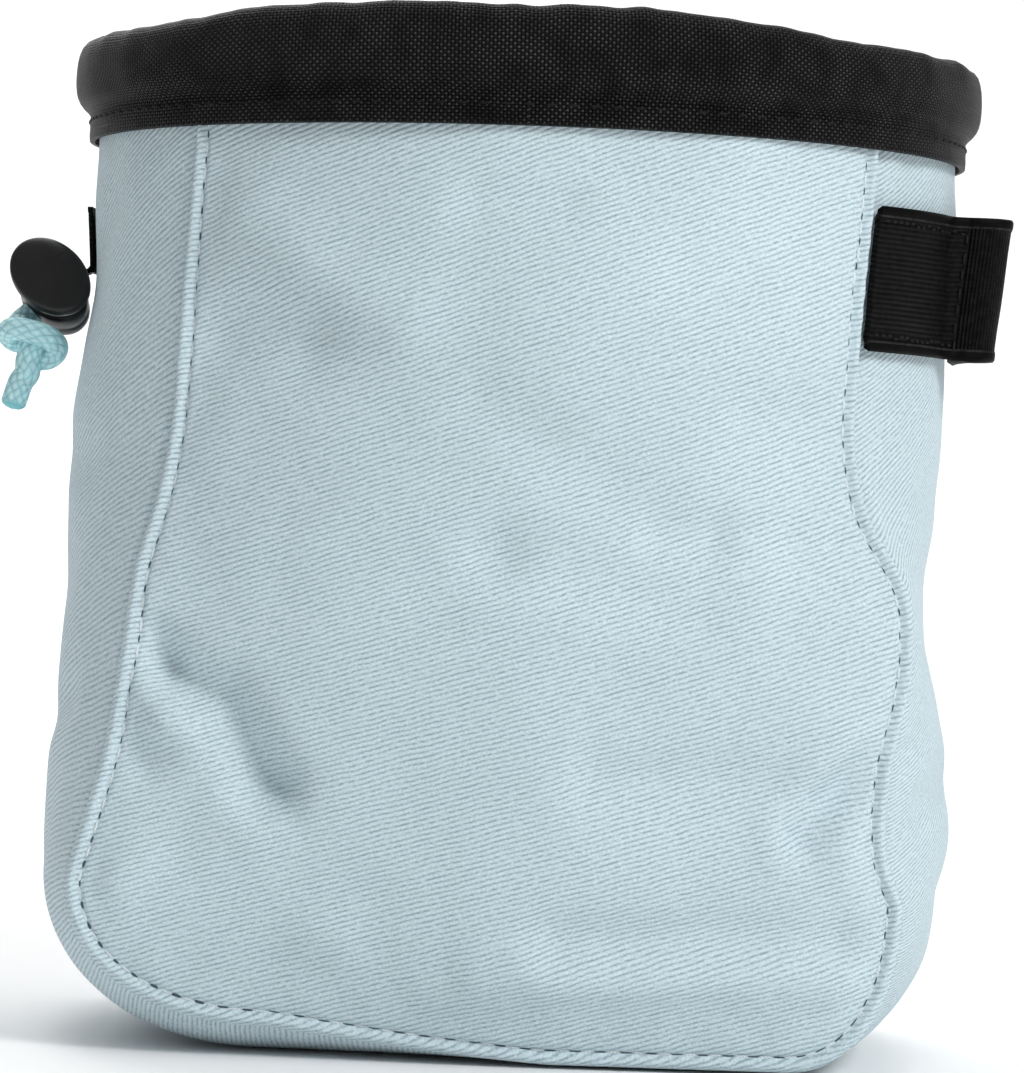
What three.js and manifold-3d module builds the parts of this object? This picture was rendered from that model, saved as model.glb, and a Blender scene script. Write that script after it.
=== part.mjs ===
// Climbing chalk bag: a soft drawstring bag on a flat base, with a rolled black rim, a brush loop on
// one side and a cord lock on the other. Millimetres, +Z up, the front faces -Y. The origin lies on
// the floor, under the middle of the mouth.
import * as THREE from 'three';
import { mergeVertices } from 'three/addons/utils/BufferGeometryUtils.js';
import Module from 'manifold-3d';

const wasm = await Module();
wasm.setup();
const { lerp, smoothstep } = THREE.MathUtils;

// Body
const bagHeight = 165;
const bellyHalfWidth = 75;
const mouthHalfWidth = 70.95;
const mouthHalfDepth = 56;
const baseHalfDepth = 39.5;
const clothWall = 2;
const seamGap = 0.6;
const bellyBulge = 5;
const baseSeamLift = 4.6;
const baseFlatShare = 0.6;
const floorClearance = 0.4;

// Rim collar: a hem sewn round the wall, and a fat roll above it
const hemHeight = 5;
const rollHeight = 13.9;
const hemThickness = 1;
const rollProud = 2.2;
const rollRound = 2.6;
const rimSlotGap = 0.8;
const wallInRoll = 6;

// Brush loop, a wide elastic band on the right side
const brushBand = 23.2;
const brushBandThickness = 1.2;
const brushLoopReachTop = 11.6;
const brushLoopReachBottom = 9.6;
const brushLoopMouth = 10;
const brushLoopDrop = 39;

// Belt loop, a strap on the back that a waist belt threads through
const beltStrapWidth = 25;
const beltStrapThickness = 1.5;
const beltLoopDrop = 34.8;
const beltLoopSpan = 44;
const beltLoopSewn = 11;
const beltLoopGap = 7;

// Tape tab that the lock and the draw cord leave the bag at
const tabHeight = 11;
const tabRise = 0.8;
const tabThickness = 0.8;
const tongueWidth = 4;
const tongueThickness = 0.8;

// Cord lock
const buttonLong = 15.6;
const buttonShort = 11.6;
const buttonThickness = 2.4;
const buttonDome = 0.5;
const barrelLong = 13.6;
const barrelShort = 10;
const barrelLength = 7.6;
const barrelFloor = 1.2;
const stemLong = 9.8;
const stemShort = 6;
const pressTravel = 2.6;
const lockDrop = 40.8;
const lockStandOff = 7.3;
const lockDepth = 6;
const fitGap = 0.3;

// Clearances between neighbours
const pieceGap = 0.3;
const tapeGap = 0.6;

// Draw cord
const cordDiameter = 4.2;
const cordHoleGap = 0.35;
const knotLong = 11.6;
const knotTall = 7.4;
const knotDeep = 7.8;

const wallTop = bagHeight - wallInRoll;
const brushLoopHeight = bagHeight - brushLoopDrop;
const beltLoopTop = bagHeight - beltLoopDrop;
const lockHeight = bagHeight - lockDrop;
const tabLowEdge = lockHeight + tabRise;
const collarBottom = bagHeight - rollHeight - hemHeight;

// Level sections of the body. Height is a share of the wall's height. The other columns are shares of
// half the width at that height: where the front seam and the side's outermost line lie, left and right.
const levels = [
  { height: 1.00, seamLeft: 0.732, sideLeft: 1.000, seamRight: 0.791, sideRight: 1.000 },
  { height: 0.91, seamLeft: 0.733, sideLeft: 0.998, seamRight: 0.780, sideRight: 0.998 },
  { height: 0.86, seamLeft: 0.737, sideLeft: 0.999, seamRight: 0.771, sideRight: 1.002 },
  { height: 0.78, seamLeft: 0.744, sideLeft: 0.988, seamRight: 0.754, sideRight: 0.990 },
  { height: 0.70, seamLeft: 0.749, sideLeft: 1.007, seamRight: 0.741, sideRight: 0.978 },
  { height: 0.63, seamLeft: 0.753, sideLeft: 1.025, seamRight: 0.734, sideRight: 0.968 },
  { height: 0.56, seamLeft: 0.775, sideLeft: 1.021, seamRight: 0.762, sideRight: 0.959 },
  { height: 0.48, seamLeft: 0.818, sideLeft: 1.016, seamRight: 0.853, sideRight: 0.927 },
  { height: 0.40, seamLeft: 0.836, sideLeft: 1.016, seamRight: 0.861, sideRight: 0.948 },
  { height: 0.30, seamLeft: 0.863, sideLeft: 1.023, seamRight: 0.819, sideRight: 0.986 },
  { height: 0.22, seamLeft: 0.905, sideLeft: 1.034, seamRight: 0.814, sideRight: 0.991 },
  { height: 0.14, seamLeft: 0.950, sideLeft: 1.010, seamRight: 0.880, sideRight: 0.942 },
];

// Bottom corners: rounds from a share of the wall's height down to the base. Reaches are shares of
// half the belly, at the front seam and at the side's outermost line, left and right.
const corner = {
  height: 0.175, squareness: 2.2, seamLeft: 0.44, sideLeft: 0.50, seamRight: 0.24, sideRight: 0.40,
};

// Main folds of the front panel. Across and up are shares of half the belly and of the wall's height.
const folds = [
  { acrossA: -0.86, upA: 0.44, acrossB: -0.46, upB: 0.27, depth: 2.4, width: 6.0 },
  { acrossA: -0.62, upA: 0.78, acrossB: -0.36, upB: 0.76, depth: 1.2, width: 8.0 },
  { acrossA: -0.62, upA: 0.46, acrossB: 0.00, upB: 0.50, depth: 1.0, width: 7.0 },
  { acrossA: 0.28, upA: 0.57, acrossB: 0.56, upB: 0.50, depth: 1.2, width: 6.0 },
  { acrossA: 0.76, upA: 0.27, acrossB: 0.55, upB: 0.20, depth: 2.2, width: 6.5 },
  { acrossA: 0.10, upA: 0.12, acrossB: 0.72, upB: 0.13, depth: 1.2, width: 6.0 },
];

// How finely the cloth is divided: steps down a side, round a corner, along the base, round the depth
const sideSteps = 13;
const cornerSteps = 6;
const baseSteps = 12;
const gussetSteps = 8;
const rimSteps = 56;
const panelRows = sideSteps + cornerSteps / 2;
const panelColumns = cornerSteps + baseSteps;

// A smooth curve through one column of the levels table
function levelAt(height, column) {
  let row = 0;
  while (row < levels.length - 2 && height < levels[row + 1].height) row += 1;
  const above = levels[Math.max(row - 1, 0)];
  const from = levels[row];
  const to = levels[row + 1];
  const below = levels[Math.min(row + 2, levels.length - 1)];
  const span = to.height - from.height;
  const t = (height - from.height) / span;
  const slopeFrom = ((to[column] - above[column]) / (to.height - above.height)) * span;
  const slopeTo = ((below[column] - from[column]) / (below.height - from.height)) * span;
  const t2 = t * t;
  const t3 = t2 * t;
  return (2 * t3 - 3 * t2 + 1) * from[column] + (t3 - 2 * t2 + t) * slopeFrom
    + (3 * t2 - 2 * t3) * to[column] + (t3 - t2) * slopeTo;
}

function columnOf(side, line) {
  return line + (side < 0 ? 'Left' : 'Right');
}

function halfWidthAt(height) {
  return lerp(bellyHalfWidth, mouthHalfWidth, height);
}

// The bag's outline in front view is a U: down the left side, along the base and up the right side.
// A place on it is a side and a height, a side and a corner angle, or a share along the base.
// line is 'seam' for the front seam and 'side' for the outermost line half way back.
function sideX(side, height, line) {
  return side * levelAt(height, columnOf(side, line)) * halfWidthAt(height);
}

function seamRise(across) {
  return floorClearance + baseSeamLift * Math.pow(Math.max(0, 1 - across / 0.55), 1.3);
}

function footX(side, line) {
  const reach = corner[columnOf(side, line)] * bellyHalfWidth;
  return sideX(side, corner.height, line) - side * reach;
}

function outline(place, line) {
  if (place.height !== undefined) {
    return { x: sideX(place.side, place.height, line), z: place.height * wallTop };
  }
  if (place.across !== undefined) {
    const z = line === 'seam' ? seamRise(place.across) : 0;
    return { x: lerp(footX(-1, line), footX(1, line), place.across), z };
  }
  const power = 2 / corner.squareness;
  const startX = sideX(place.side, corner.height, line);
  const startZ = corner.height * wallTop;
  const endZ = line === 'seam' ? seamRise(place.side < 0 ? 0 : 1) : 0;
  return {
    x: lerp(footX(place.side, line), startX, Math.pow(Math.cos(place.angle), power)),
    z: lerp(startZ, endZ, Math.pow(Math.sin(place.angle), power)),
  };
}

// How far the seams stand in front of and behind the middle: the mouth's ellipse above, the base below
function seamDepth(place) {
  if (place.height === undefined) return baseHalfDepth;
  const mouthShare = levels[0][place.side < 0 ? 'seamLeft' : 'seamRight'];
  const mouthDepth = mouthHalfDepth * Math.sqrt(1 - mouthShare * mouthShare);
  return lerp(baseHalfDepth, mouthDepth, smoothstep(place.height, corner.height, 1));
}

function sidePlace(side, share) {
  const step = share * panelRows;
  if (step <= sideSteps) return { side, height: lerp(1, corner.height, step / sideSteps) };
  return { side, angle: ((step - sideSteps) / cornerSteps) * Math.PI / 2 };
}

function basePlace(share) {
  const step = share * panelColumns;
  const half = cornerSteps / 2;
  if (step < half) return { side: -1, angle: (Math.PI / 4) * (1 + step / half) };
  if (step <= half + baseSteps) return { across: (step - half) / baseSteps };
  return { side: 1, angle: (Math.PI / 4) * (2 - (step - half - baseSteps) / half) };
}

function seamPoint(place) {
  const { x, z } = outline(place, 'seam');
  return new THREE.Vector3(x, -seamDepth(place) - seamGap / 2, z);
}

// A point of the front panel, between its four edges: across from left to right, down from the mouth
function panelPoint(across, down, folded) {
  const left = seamPoint(sidePlace(-1, down));
  const right = seamPoint(sidePlace(1, down));
  const bottom = seamPoint(basePlace(across));
  const corners = [[-1, 0], [1, 0], [-1, 1], [1, 1]].map(([s, d]) => seamPoint(sidePlace(s, d)));
  const x = lerp(corners[0].x, corners[1].x, across);
  const arc = Math.sqrt(Math.max(0, 1 - (x / mouthHalfWidth) ** 2));
  const top = new THREE.Vector3(x, -mouthHalfDepth * arc - seamGap / 2, wallTop);
  const point = top.lerp(bottom, down).add(left.lerp(right, across));
  point.sub(corners[0].lerp(corners[1], across).lerp(corners[2].lerp(corners[3], across), down));
  point.y -= bellyBulge * Math.sin(Math.PI * down) * Math.sin(Math.PI * across);
  const fade = edgeFade(across) * edgeFade(down);
  if (folded) point.y += foldDepth(point.x, point.z) * fade;
  return point;
}

// Folds die away towards the seams and the rim
function edgeFade(share) {
  return smoothstep(Math.min(share, 1 - share), 0, 0.12);
}

function foldDepth(x, z) {
  let depth = 0;
  for (const fold of folds) {
    const start = new THREE.Vector2(fold.acrossA * bellyHalfWidth, fold.upA * wallTop);
    const run = new THREE.Vector2(fold.acrossB * bellyHalfWidth, fold.upB * wallTop).sub(start);
    const at = new THREE.Vector2(x, z).sub(start);
    const share = THREE.MathUtils.clamp(at.dot(run) / run.lengthSq(), 0, 1);
    const distance = at.sub(run.multiplyScalar(share)).length();
    depth += fold.depth * Math.exp(-((distance / fold.width) ** 2));
  }
  return depth;
}

// A point of the side gusset: round runs from -1 at the front seam to 1 at the back seam
function gussetPoint(place, round) {
  const seam = outline(place, 'seam');
  const side = outline(place, 'side');
  const depth = seamDepth(place) - seamGap / 2;
  const edge = Math.sqrt(1 - (depth / mouthHalfDepth) ** 2);
  const oval = (Math.sqrt(1 - (round * depth / mouthHalfDepth) ** 2) - edge) / (1 - edge);
  const flat = 1 - Math.pow(Math.max(0, (Math.abs(round) - baseFlatShare) / (1 - baseFlatShare)), 2.2);
  const upper = place.height === undefined ? 0 : smoothstep(place.height, corner.height, 0.6);
  const share = lerp(flat, oval, upper);
  return new THREE.Vector3(lerp(seam.x, side.x, oval), round * depth, lerp(seam.z, side.z, share));
}

// The direction out of the gusset at a place on a side
function gussetOut(place, round) {
  const step = 0.01;
  const near = { ...place, height: place.height - step };
  const along = gussetPoint(place, round + step).sub(gussetPoint(place, round - step));
  const down = gussetPoint(near, round).sub(gussetPoint(place, round));
  const out = along.cross(down).normalize();
  return out.x * place.side < 0 ? out.negate() : out;
}

function grid(rows, columns, pointAt) {
  const points = [];
  for (let i = 0; i <= rows; i += 1) {
    points.push([]);
    for (let j = 0; j <= columns; j += 1) points[i].push(pointAt(i, j));
  }
  return points;
}

function gridNormal(points, i, j) {
  const up = points[Math.max(i - 1, 0)][j];
  const down = points[Math.min(i + 1, points.length - 1)][j];
  const left = points[i][Math.max(j - 1, 0)];
  const right = points[i][Math.min(j + 1, points[0].length - 1)];
  return down.clone().sub(up).cross(right.clone().sub(left)).normalize();
}

// A closed wall between two grids of points of the same size
function wallBetween(outer, inner) {
  const rows = outer.length;
  const columns = outer[0].length;
  const positions = [];
  for (const side of [outer, inner]) {
    for (const row of side) {
      for (const point of row) positions.push(point.x, point.y, point.z);
    }
  }
  const index = [];
  const at = (layer, i, j) => layer * rows * columns + i * columns + j;
  const quad = (a, b, c, d) => index.push(a, b, c, a, c, d);
  for (let i = 0; i < rows - 1; i += 1) {
    for (let j = 0; j < columns - 1; j += 1) {
      quad(at(0, i, j), at(0, i, j + 1), at(0, i + 1, j + 1), at(0, i + 1, j));
      quad(at(1, i, j), at(1, i + 1, j), at(1, i + 1, j + 1), at(1, i, j + 1));
    }
  }
  for (let j = 0; j < columns - 1; j += 1) {
    quad(at(0, 0, j + 1), at(0, 0, j), at(1, 0, j), at(1, 0, j + 1));
    quad(at(0, rows - 1, j), at(0, rows - 1, j + 1), at(1, rows - 1, j + 1), at(1, rows - 1, j));
  }
  for (let i = 0; i < rows - 1; i += 1) {
    quad(at(0, i, 0), at(0, i + 1, 0), at(1, i + 1, 0), at(1, i, 0));
    const last = columns - 1;
    quad(at(0, i + 1, last), at(0, i, last), at(1, i, last), at(1, i + 1, last));
  }
  return closedGeometry(positions, index);
}

// A geometry whose faces point outwards, whichever way round its grid was
function closedGeometry(positions, index) {
  let volume = 0;
  const corners = [new THREE.Vector3(), new THREE.Vector3(), new THREE.Vector3()];
  for (let i = 0; i < index.length; i += 3) {
    corners.forEach((point, k) => point.fromArray(positions, index[i + k] * 3));
    volume += corners[0].dot(corners[1].clone().cross(corners[2])) / 6;
  }
  const facing = volume < 0 ? index.slice().reverse() : index;
  const geometry = new THREE.BufferGeometry();
  geometry.setAttribute('position', new THREE.Float32BufferAttribute(positions, 3));
  geometry.setIndex(facing);
  return geometry;
}

function solid(geometry) {
  const merged = geometry.clone();
  merged.deleteAttribute('normal');
  merged.deleteAttribute('uv');
  const welded = mergeVertices(merged, 1e-4);
  const index = [];
  for (let i = 0; i < welded.index.count; i += 3) {
    const [a, b, c] = [0, 1, 2].map((k) => welded.index.getX(i + k));
    if (a !== b && b !== c && a !== c) index.push(a, b, c);
  }
  return new wasm.Manifold(new wasm.Mesh({
    numProp: 3,
    vertProperties: new Float32Array(welded.attributes.position.array),
    triVerts: new Uint32Array(index),
  }));
}

function geometryOf(shape) {
  const mesh = shape.getMesh();
  const geometry = new THREE.BufferGeometry();
  geometry.setAttribute('position', new THREE.BufferAttribute(new Float32Array(mesh.vertProperties), 3));
  geometry.setIndex(new THREE.BufferAttribute(new Uint32Array(mesh.triVerts), 1));
  return geometry;
}

function piece(name, geometry, colour, roughness) {
  const material = new THREE.MeshStandardMaterial({ color: colour, roughness, metalness: 0 });
  const mesh = new THREE.Mesh(geometry, material);
  mesh.name = name;
  return mesh;
}

// Where the walls of a panel and of the gusset meet, both end on the plane that halves their angle
function mitre(panelNormal, gussetNormal) {
  const sum = panelNormal.clone().add(gussetNormal);
  return sum.multiplyScalar(clothWall / (1 + panelNormal.dot(gussetNormal)));
}

// The U of places that the panels and the gusset share
const uPlaces = [];
for (let i = 0; i < panelRows; i += 1) uPlaces.push(sidePlace(-1, i / panelRows));
for (let j = 0; j < panelColumns; j += 1) uPlaces.push(basePlace(j / panelColumns));
for (let i = panelRows; i >= 0; i -= 1) uPlaces.push(sidePlace(1, i / panelRows));

function panelGrid(folded) {
  return grid(panelRows, panelColumns, (i, j) => panelPoint(j / panelColumns, i / panelRows, folded));
}

const frontOuter = panelGrid(true);
const plainOuter = panelGrid(false);
const gussetOuter = grid(
  uPlaces.length - 1,
  gussetSteps,
  (i, j) => gussetPoint(uPlaces[i], (2 * j) / gussetSteps - 1),
);

function panelRim(k) {
  if (k < panelRows) return [k, 0];
  if (k <= panelRows + panelColumns) return [panelRows, k - panelRows];
  return [2 * panelRows + panelColumns - k, panelColumns];
}

// The same normal, turned to point into the bag
function towardsMiddle(normal, point) {
  const inward = new THREE.Vector3(0, 0, wallTop / 2).sub(point);
  return normal.dot(inward) < 0 ? normal.negate() : normal;
}

// The step from the outer to the inner end of the seam, at each place of the U
const seamSteps = uPlaces.map((place, k) => {
  const [i, j] = panelRim(k);
  const panelInward = gridNormal(plainOuter, i, j);
  if (panelInward.y < 0) panelInward.negate();
  const gussetInward = towardsMiddle(gridNormal(gussetOuter, k, 0), gussetOuter[k][0]);
  const step = mitre(panelInward, gussetInward);
  if (k === 0 || k === uPlaces.length - 1) step.z = 0;
  return step;
});

function rimIndex(i, j) {
  if (j === 0) return i;
  if (j === panelColumns) return 2 * panelRows + panelColumns - i;
  return i === panelRows ? panelRows + j : -1;
}

function panelWall(outer) {
  const inner = grid(panelRows, panelColumns, (i, j) => {
    const k = rimIndex(i, j);
    if (k >= 0) return outer[i][j].clone().add(seamSteps[k]);
    const inward = gridNormal(outer, i, j);
    if (inward.y < 0) inward.negate();
    if (i === 0) inward.setZ(0).normalize();
    return outer[i][j].clone().addScaledVector(inward, clothWall);
  });
  return wallBetween(outer, inner);
}

function backWall() {
  const geometry = panelWall(plainOuter);
  const positions = Array.from(geometry.attributes.position.array, (v, k) => (k % 3 === 1 ? -v : v));
  return closedGeometry(positions, Array.from(geometry.index.array));
}

function gussetWall() {
  const inner = grid(uPlaces.length - 1, gussetSteps, (i, j) => {
    const point = gussetOuter[i][j].clone();
    if (j === 0) return point.add(seamSteps[i]);
    if (j === gussetSteps) return point.add(seamSteps[i].clone().setY(-seamSteps[i].y));
    const inward = towardsMiddle(gridNormal(gussetOuter, i, j), point);
    if (i === 0 || i === uPlaces.length - 1) inward.setZ(0).normalize();
    return point.addScaledVector(inward, clothWall);
  });
  return wallBetween(gussetOuter, inner);
}

// The rim's section runs round the mouth's ellipse. Out is measured from the wall's outer face.
function rimCollar() {
  const hemOut = rimSlotGap + hemThickness;
  const rollOut = hemOut + rollProud;
  const hemIn = -clothWall - rimSlotGap - hemThickness;
  const rollIn = hemIn - rollProud * 0.6;
  const top = rollHeight + hemHeight;
  const slotTop = wallTop + rimSlotGap - collarBottom;
  const section = [
    [rimSlotGap, 0], [hemOut - 0.3, 0], [hemOut, 0.5], [hemOut, hemHeight - 0.3],
    [hemOut + rollProud * 0.6, hemHeight + 0.5], [rollOut, hemHeight + rollRound],
    [rollOut + 0.1, top - rollHeight * 0.5], [rollOut, top - rollRound],
    [rollOut - rollRound * 0.3, top - rollRound * 0.35], [rollOut - rollRound, top],
    [rollIn + rollRound, top], [rollIn + rollRound * 0.3, top - rollRound * 0.35],
    [rollIn, top - rollRound], [rollIn, hemHeight + rollRound], [hemIn, hemHeight - 0.3],
    [hemIn, 0], [-clothWall - rimSlotGap, 0], [-clothWall - rimSlotGap, slotTop], [rimSlotGap, slotTop],
  ];
  const positions = [];
  for (let i = 0; i < rimSteps; i += 1) {
    const angle = (2 * Math.PI * i) / rimSteps;
    const [cos, sin] = [Math.cos(angle), Math.sin(angle)];
    const wallPoint = new THREE.Vector2(mouthHalfWidth * cos, mouthHalfDepth * sin);
    const out = new THREE.Vector2(mouthHalfDepth * cos, mouthHalfWidth * sin).normalize();
    for (const [reach, height] of section) {
      positions.push(wallPoint.x + out.x * reach, wallPoint.y + out.y * reach, collarBottom + height);
    }
  }
  const index = [];
  const count = section.length;
  for (let i = 0; i < rimSteps; i += 1) {
    const next = (i + 1) % rimSteps;
    for (let j = 0; j < count; j += 1) {
      const side = (j + 1) % count;
      const [a, b, c, d] = [i * count + j, next * count + j, next * count + side, i * count + side];
      index.push(a, b, c, a, c, d);
    }
  }
  return closedGeometry(positions, index);
}

// A band along a plan path at several heights: each row holds the band's middle line
function band(middle, thickness, acrossOf) {
  const face = (sign) => middle.map((row, i) => row.map((point, j) => {
    const before = row[Math.max(j - 1, 0)];
    const after = row[Math.min(j + 1, row.length - 1)];
    const out = after.clone().sub(before).cross(acrossOf(i, j)).normalize();
    return point.clone().addScaledVector(out, (sign * thickness) / 2);
  }));
  return wallBetween(face(1), face(-1));
}

// The elastic lies flat on the side gusset from the front seam to its stitch line, stands out in a
// loop for the brush, and lies flat again where its end is sewn down
const brushFlatFront = [-0.95, -0.8, -0.64, -0.5, -0.4];
const brushFlatBack = [-0.06, 0.02, 0.1];
const brushHump = [
  { along: 0.02, out: 0.22 }, { along: 0.08, out: 0.50 }, { along: 0.20, out: 0.80 },
  { along: 0.42, out: 0.98 }, { along: 0.66, out: 0.97 }, { along: 0.86, out: 0.78 },
  { along: 0.96, out: 0.50 }, { along: 1.00, out: 0.24 },
];

function brushPlace(share) {
  const low = brushLoopHeight - brushBand / 2;
  return { side: 1, height: (low + share * brushBand) / wallTop };
}

function brushLoop() {
  const rows = 5;
  const lift = tapeGap + brushBandThickness / 2;
  const onGusset = (place, round) => gussetPoint(place, round).addScaledVector(gussetOut(place, round), lift);
  const middle = [];
  for (let i = 0; i <= rows; i += 1) {
    const place = brushPlace(i / rows);
    const reach = lerp(brushLoopReachBottom, brushLoopReachTop, i / rows);
    const start = onGusset(place, -0.38);
    const end = onGusset(place, -0.38 + brushLoopMouth / seamDepth(place));
    const out = end.clone().sub(start).setZ(0).normalize();
    out.set(out.y, -out.x, 0);
    const hump = brushHump.map(({ along, out: share }) => start.clone().lerp(end, along)
      .addScaledVector(out, share * reach));
    middle.push([
      ...brushFlatFront.map((round) => onGusset(place, round)), ...hump,
      ...brushFlatBack.map((round) => onGusset(place, round)),
    ]);
  }
  const up = new THREE.Vector3(0, 0, 1);
  return band(middle, brushBandThickness, () => up);
}

// How far back the plain back panel's outer face lies at a place in front view
function backFace(x, z) {
  let across = 0.5;
  let down = 0.5;
  let point = panelPoint(across, down, false);
  for (let k = 0; k < 12; k += 1) {
    across = THREE.MathUtils.clamp(across + (x - point.x) / (1.6 * bellyHalfWidth), 0.02, 0.98);
    down = THREE.MathUtils.clamp(down - (z - point.z) / wallTop, 0.02, 0.98);
    point = panelPoint(across, down, false);
  }
  return -point.y;
}

function beltLoop() {
  const columns = 4;
  const steps = 16;
  const low = beltLoopTop - beltLoopSpan - 2 * beltLoopSewn;
  const height = beltLoopTop - low;
  const middle = grid(columns, steps, (i, j) => {
    const z = low + (height * j) / steps;
    const x = beltStrapWidth * (i / columns - 0.5);
    const fromEnd = Math.min(z - low, beltLoopTop - z);
    const arch = smoothstep(fromEnd, beltLoopSewn * 0.8, beltLoopSewn + 6);
    const seat = lerp(backFace(x, z), backFace(0, z), arch);
    return new THREE.Vector3(x, seat + pieceGap + beltStrapThickness / 2 + arch * beltLoopGap, z);
  });
  const across = new THREE.Vector3(1, 0, 0);
  return band(middle, beltStrapThickness, () => across);
}

// Axes of the cord lock: it faces forward and a little up, its long way runs down to the right
const lockOut = new THREE.Vector3(0, -0.93, 0.37).normalize();
const lockLongHint = new THREE.Vector3(0.664, 0, -0.748);
const lockLong = lockLongHint.addScaledVector(lockOut, -lockLongHint.dot(lockOut)).normalize();
const lockShort = lockOut.clone().cross(lockLong);
const lockSide = gussetPoint({ side: -1, height: lockHeight / wallTop }, 0).x;
const lockCentre = new THREE.Vector3(lockSide - lockStandOff, -lockDepth, lockHeight);
const barrelFront = buttonThickness + pressTravel + fitGap;
const channelDepth = barrelFront + barrelLength * 0.47;

function lockPoint(long, short, deep) {
  return lockCentre.clone().addScaledVector(lockLong, long).addScaledVector(lockShort, short)
    .addScaledVector(lockOut, -deep);
}

// An oval turned shape: radius is a share of the half long and half short width, deep runs backwards
function ovalTurned(profile, long, short, segments) {
  const points = profile.map(([radius, deep]) => new THREE.Vector2(radius, -deep));
  const geometry = new THREE.LatheGeometry(points, segments);
  geometry.rotateX(Math.PI / 2);
  geometry.scale(long / 2, short / 2, 1);
  return geometry;
}

function ovalBlock(long, short, from, to) {
  return ovalTurned([[0, to], [1, to], [1, from], [0, from]], long, short, 24);
}

function cordChannel(length) {
  const radius = cordDiameter / 2 + cordHoleGap;
  const geometry = new THREE.CylinderGeometry(radius, radius, length, 16);
  geometry.translate(0, 0, -channelDepth);
  return geometry;
}

function lockBarrel() {
  const far = barrelFront + barrelLength;
  const body = ovalTurned([
    [0, far], [0.72, far], [0.92, far - 0.6], [1, far - 1.8],
    [1, barrelFront + 0.8], [0.93, barrelFront], [0, barrelFront],
  ], barrelLong, barrelShort, 28);
  const cavity = ovalBlock(stemLong + 2 * fitGap, stemShort + 2 * fitGap, barrelFront - 1, far - barrelFloor);
  return geometryOf(solid(body).subtract(solid(cavity)).subtract(solid(cordChannel(barrelShort * 2))));
}

function lockPlunger() {
  const stemEnd = barrelFront + barrelLength - barrelFloor - pressTravel - fitGap;
  const button = ovalTurned([
    [0, buttonThickness], [0.9, buttonThickness], [0.985, buttonThickness - 0.5], [1, buttonThickness * 0.5],
    [0.985, 0.4], [0.93, 0.05], [0.6, -buttonDome * 0.6], [0, -buttonDome],
  ], buttonLong, buttonShort, 32);
  const stem = ovalBlock(stemLong, stemShort, buttonThickness - 0.5, stemEnd);
  const slotTop = channelDepth - cordDiameter / 2 - cordHoleGap - pressTravel;
  const slot = new THREE.BoxGeometry(cordDiameter + 2 * cordHoleGap, barrelShort * 2, 20);
  slot.translate(0, 0, -slotTop - 10);
  return geometryOf(solid(button).add(solid(stem).subtract(solid(slot))));
}

// Tape on the back half of the left gusset, and the tongue that holds the lock
function lockTab() {
  const rows = 3;
  const columns = 8;
  const onGusset = (i, j, lift) => {
    const place = { side: -1, height: (tabLowEdge + (tabHeight * i) / rows) / wallTop };
    const round = lerp(0.01, 0.8, j / columns);
    return gussetPoint(place, round).addScaledVector(gussetOut(place, round), lift);
  };
  const tape = wallBetween(
    grid(rows, columns, (i, j) => onGusset(i, j, tapeGap + tabThickness)),
    grid(rows, columns, (i, j) => onGusset(i, j, tapeGap)),
  );
  const root = onGusset(0, 0, tapeGap + tabThickness / 2).add(new THREE.Vector3(0, 0.3, 1.2));
  const aim = lockPoint(0, 0, channelDepth - 2).sub(root).setY(0);
  const clear = aim.length() - barrelShort / 2 - 1.2;
  const tip = root.clone().addScaledVector(aim.normalize(), Math.max(clear, 1.5));
  const middle = [0, 1, 2].map((i) => [0, 1, 2].map((j) => {
    const point = root.clone().lerp(tip, j / 2);
    point.y += (tongueWidth * i) / 2;
    return point;
  }));
  const back = new THREE.Vector3(0, 1, 0);
  const tongue = band(middle, tongueThickness, () => back);
  return geometryOf(solid(tape).add(solid(tongue)));
}

// Route of the draw cord: out of the tab, straight through the lock's channel and down into the knot,
// with the tail below the knot. Every place on it is a step from the lock's centre.
function fromLock(x, y, z) {
  return lockCentre.clone().add(new THREE.Vector3(x, y, z));
}

const cordRoute = [
  ...[6, 4, 0, -4.35].map((along) => lockPoint(0, along, channelDepth)),
  fromLock(-4.23, 6.65, -7.15), fromLock(-4.73, 5.3, -7.9),
];
const tailRoute = [
  fromLock(-2.93, 0.2, -14.7), fromLock(-3.63, -0.2, -16.5),
  fromLock(-4.63, -0.6, -19.3), fromLock(-5.53, -0.8, -21.8),
];
const knotPlace = fromLock(-3.13, 0.8, -10.6);
const knotTilt = THREE.MathUtils.degToRad(14);

function cordTube(route, sides, steps) {
  const curve = new THREE.CatmullRomCurve3(route, false, 'centripetal');
  const ring = new THREE.Shape();
  for (let i = 0; i <= sides; i += 1) {
    const angle = (2 * Math.PI * i) / sides;
    const [x, y] = [Math.cos(angle) * cordDiameter / 2, Math.sin(angle) * cordDiameter / 2];
    if (i === 0) ring.moveTo(x, y);
    else ring.lineTo(x, y);
  }
  return new THREE.ExtrudeGeometry(ring, { steps, extrudePath: curve, bevelEnabled: false });
}

function cordKnot() {
  const profile = [[0, -1], [0.55, -0.86], [0.88, -0.5], [1, 0], [0.88, 0.5], [0.55, 0.86], [0, 1]];
  const geometry = new THREE.LatheGeometry(profile.map(([r, h]) => new THREE.Vector2(r, h)), 12);
  geometry.scale(knotLong / 2, knotTall / 2, knotDeep / 2);
  geometry.rotateX(Math.PI / 2);
  geometry.rotateY(knotTilt);
  return geometry;
}

// Colours of the real pieces
const iceBlue = 0xbdced5;
const black = 0x1c1c1c;
const moulded = 0x242424;
const aqua = 0x9cc8cf;

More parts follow.
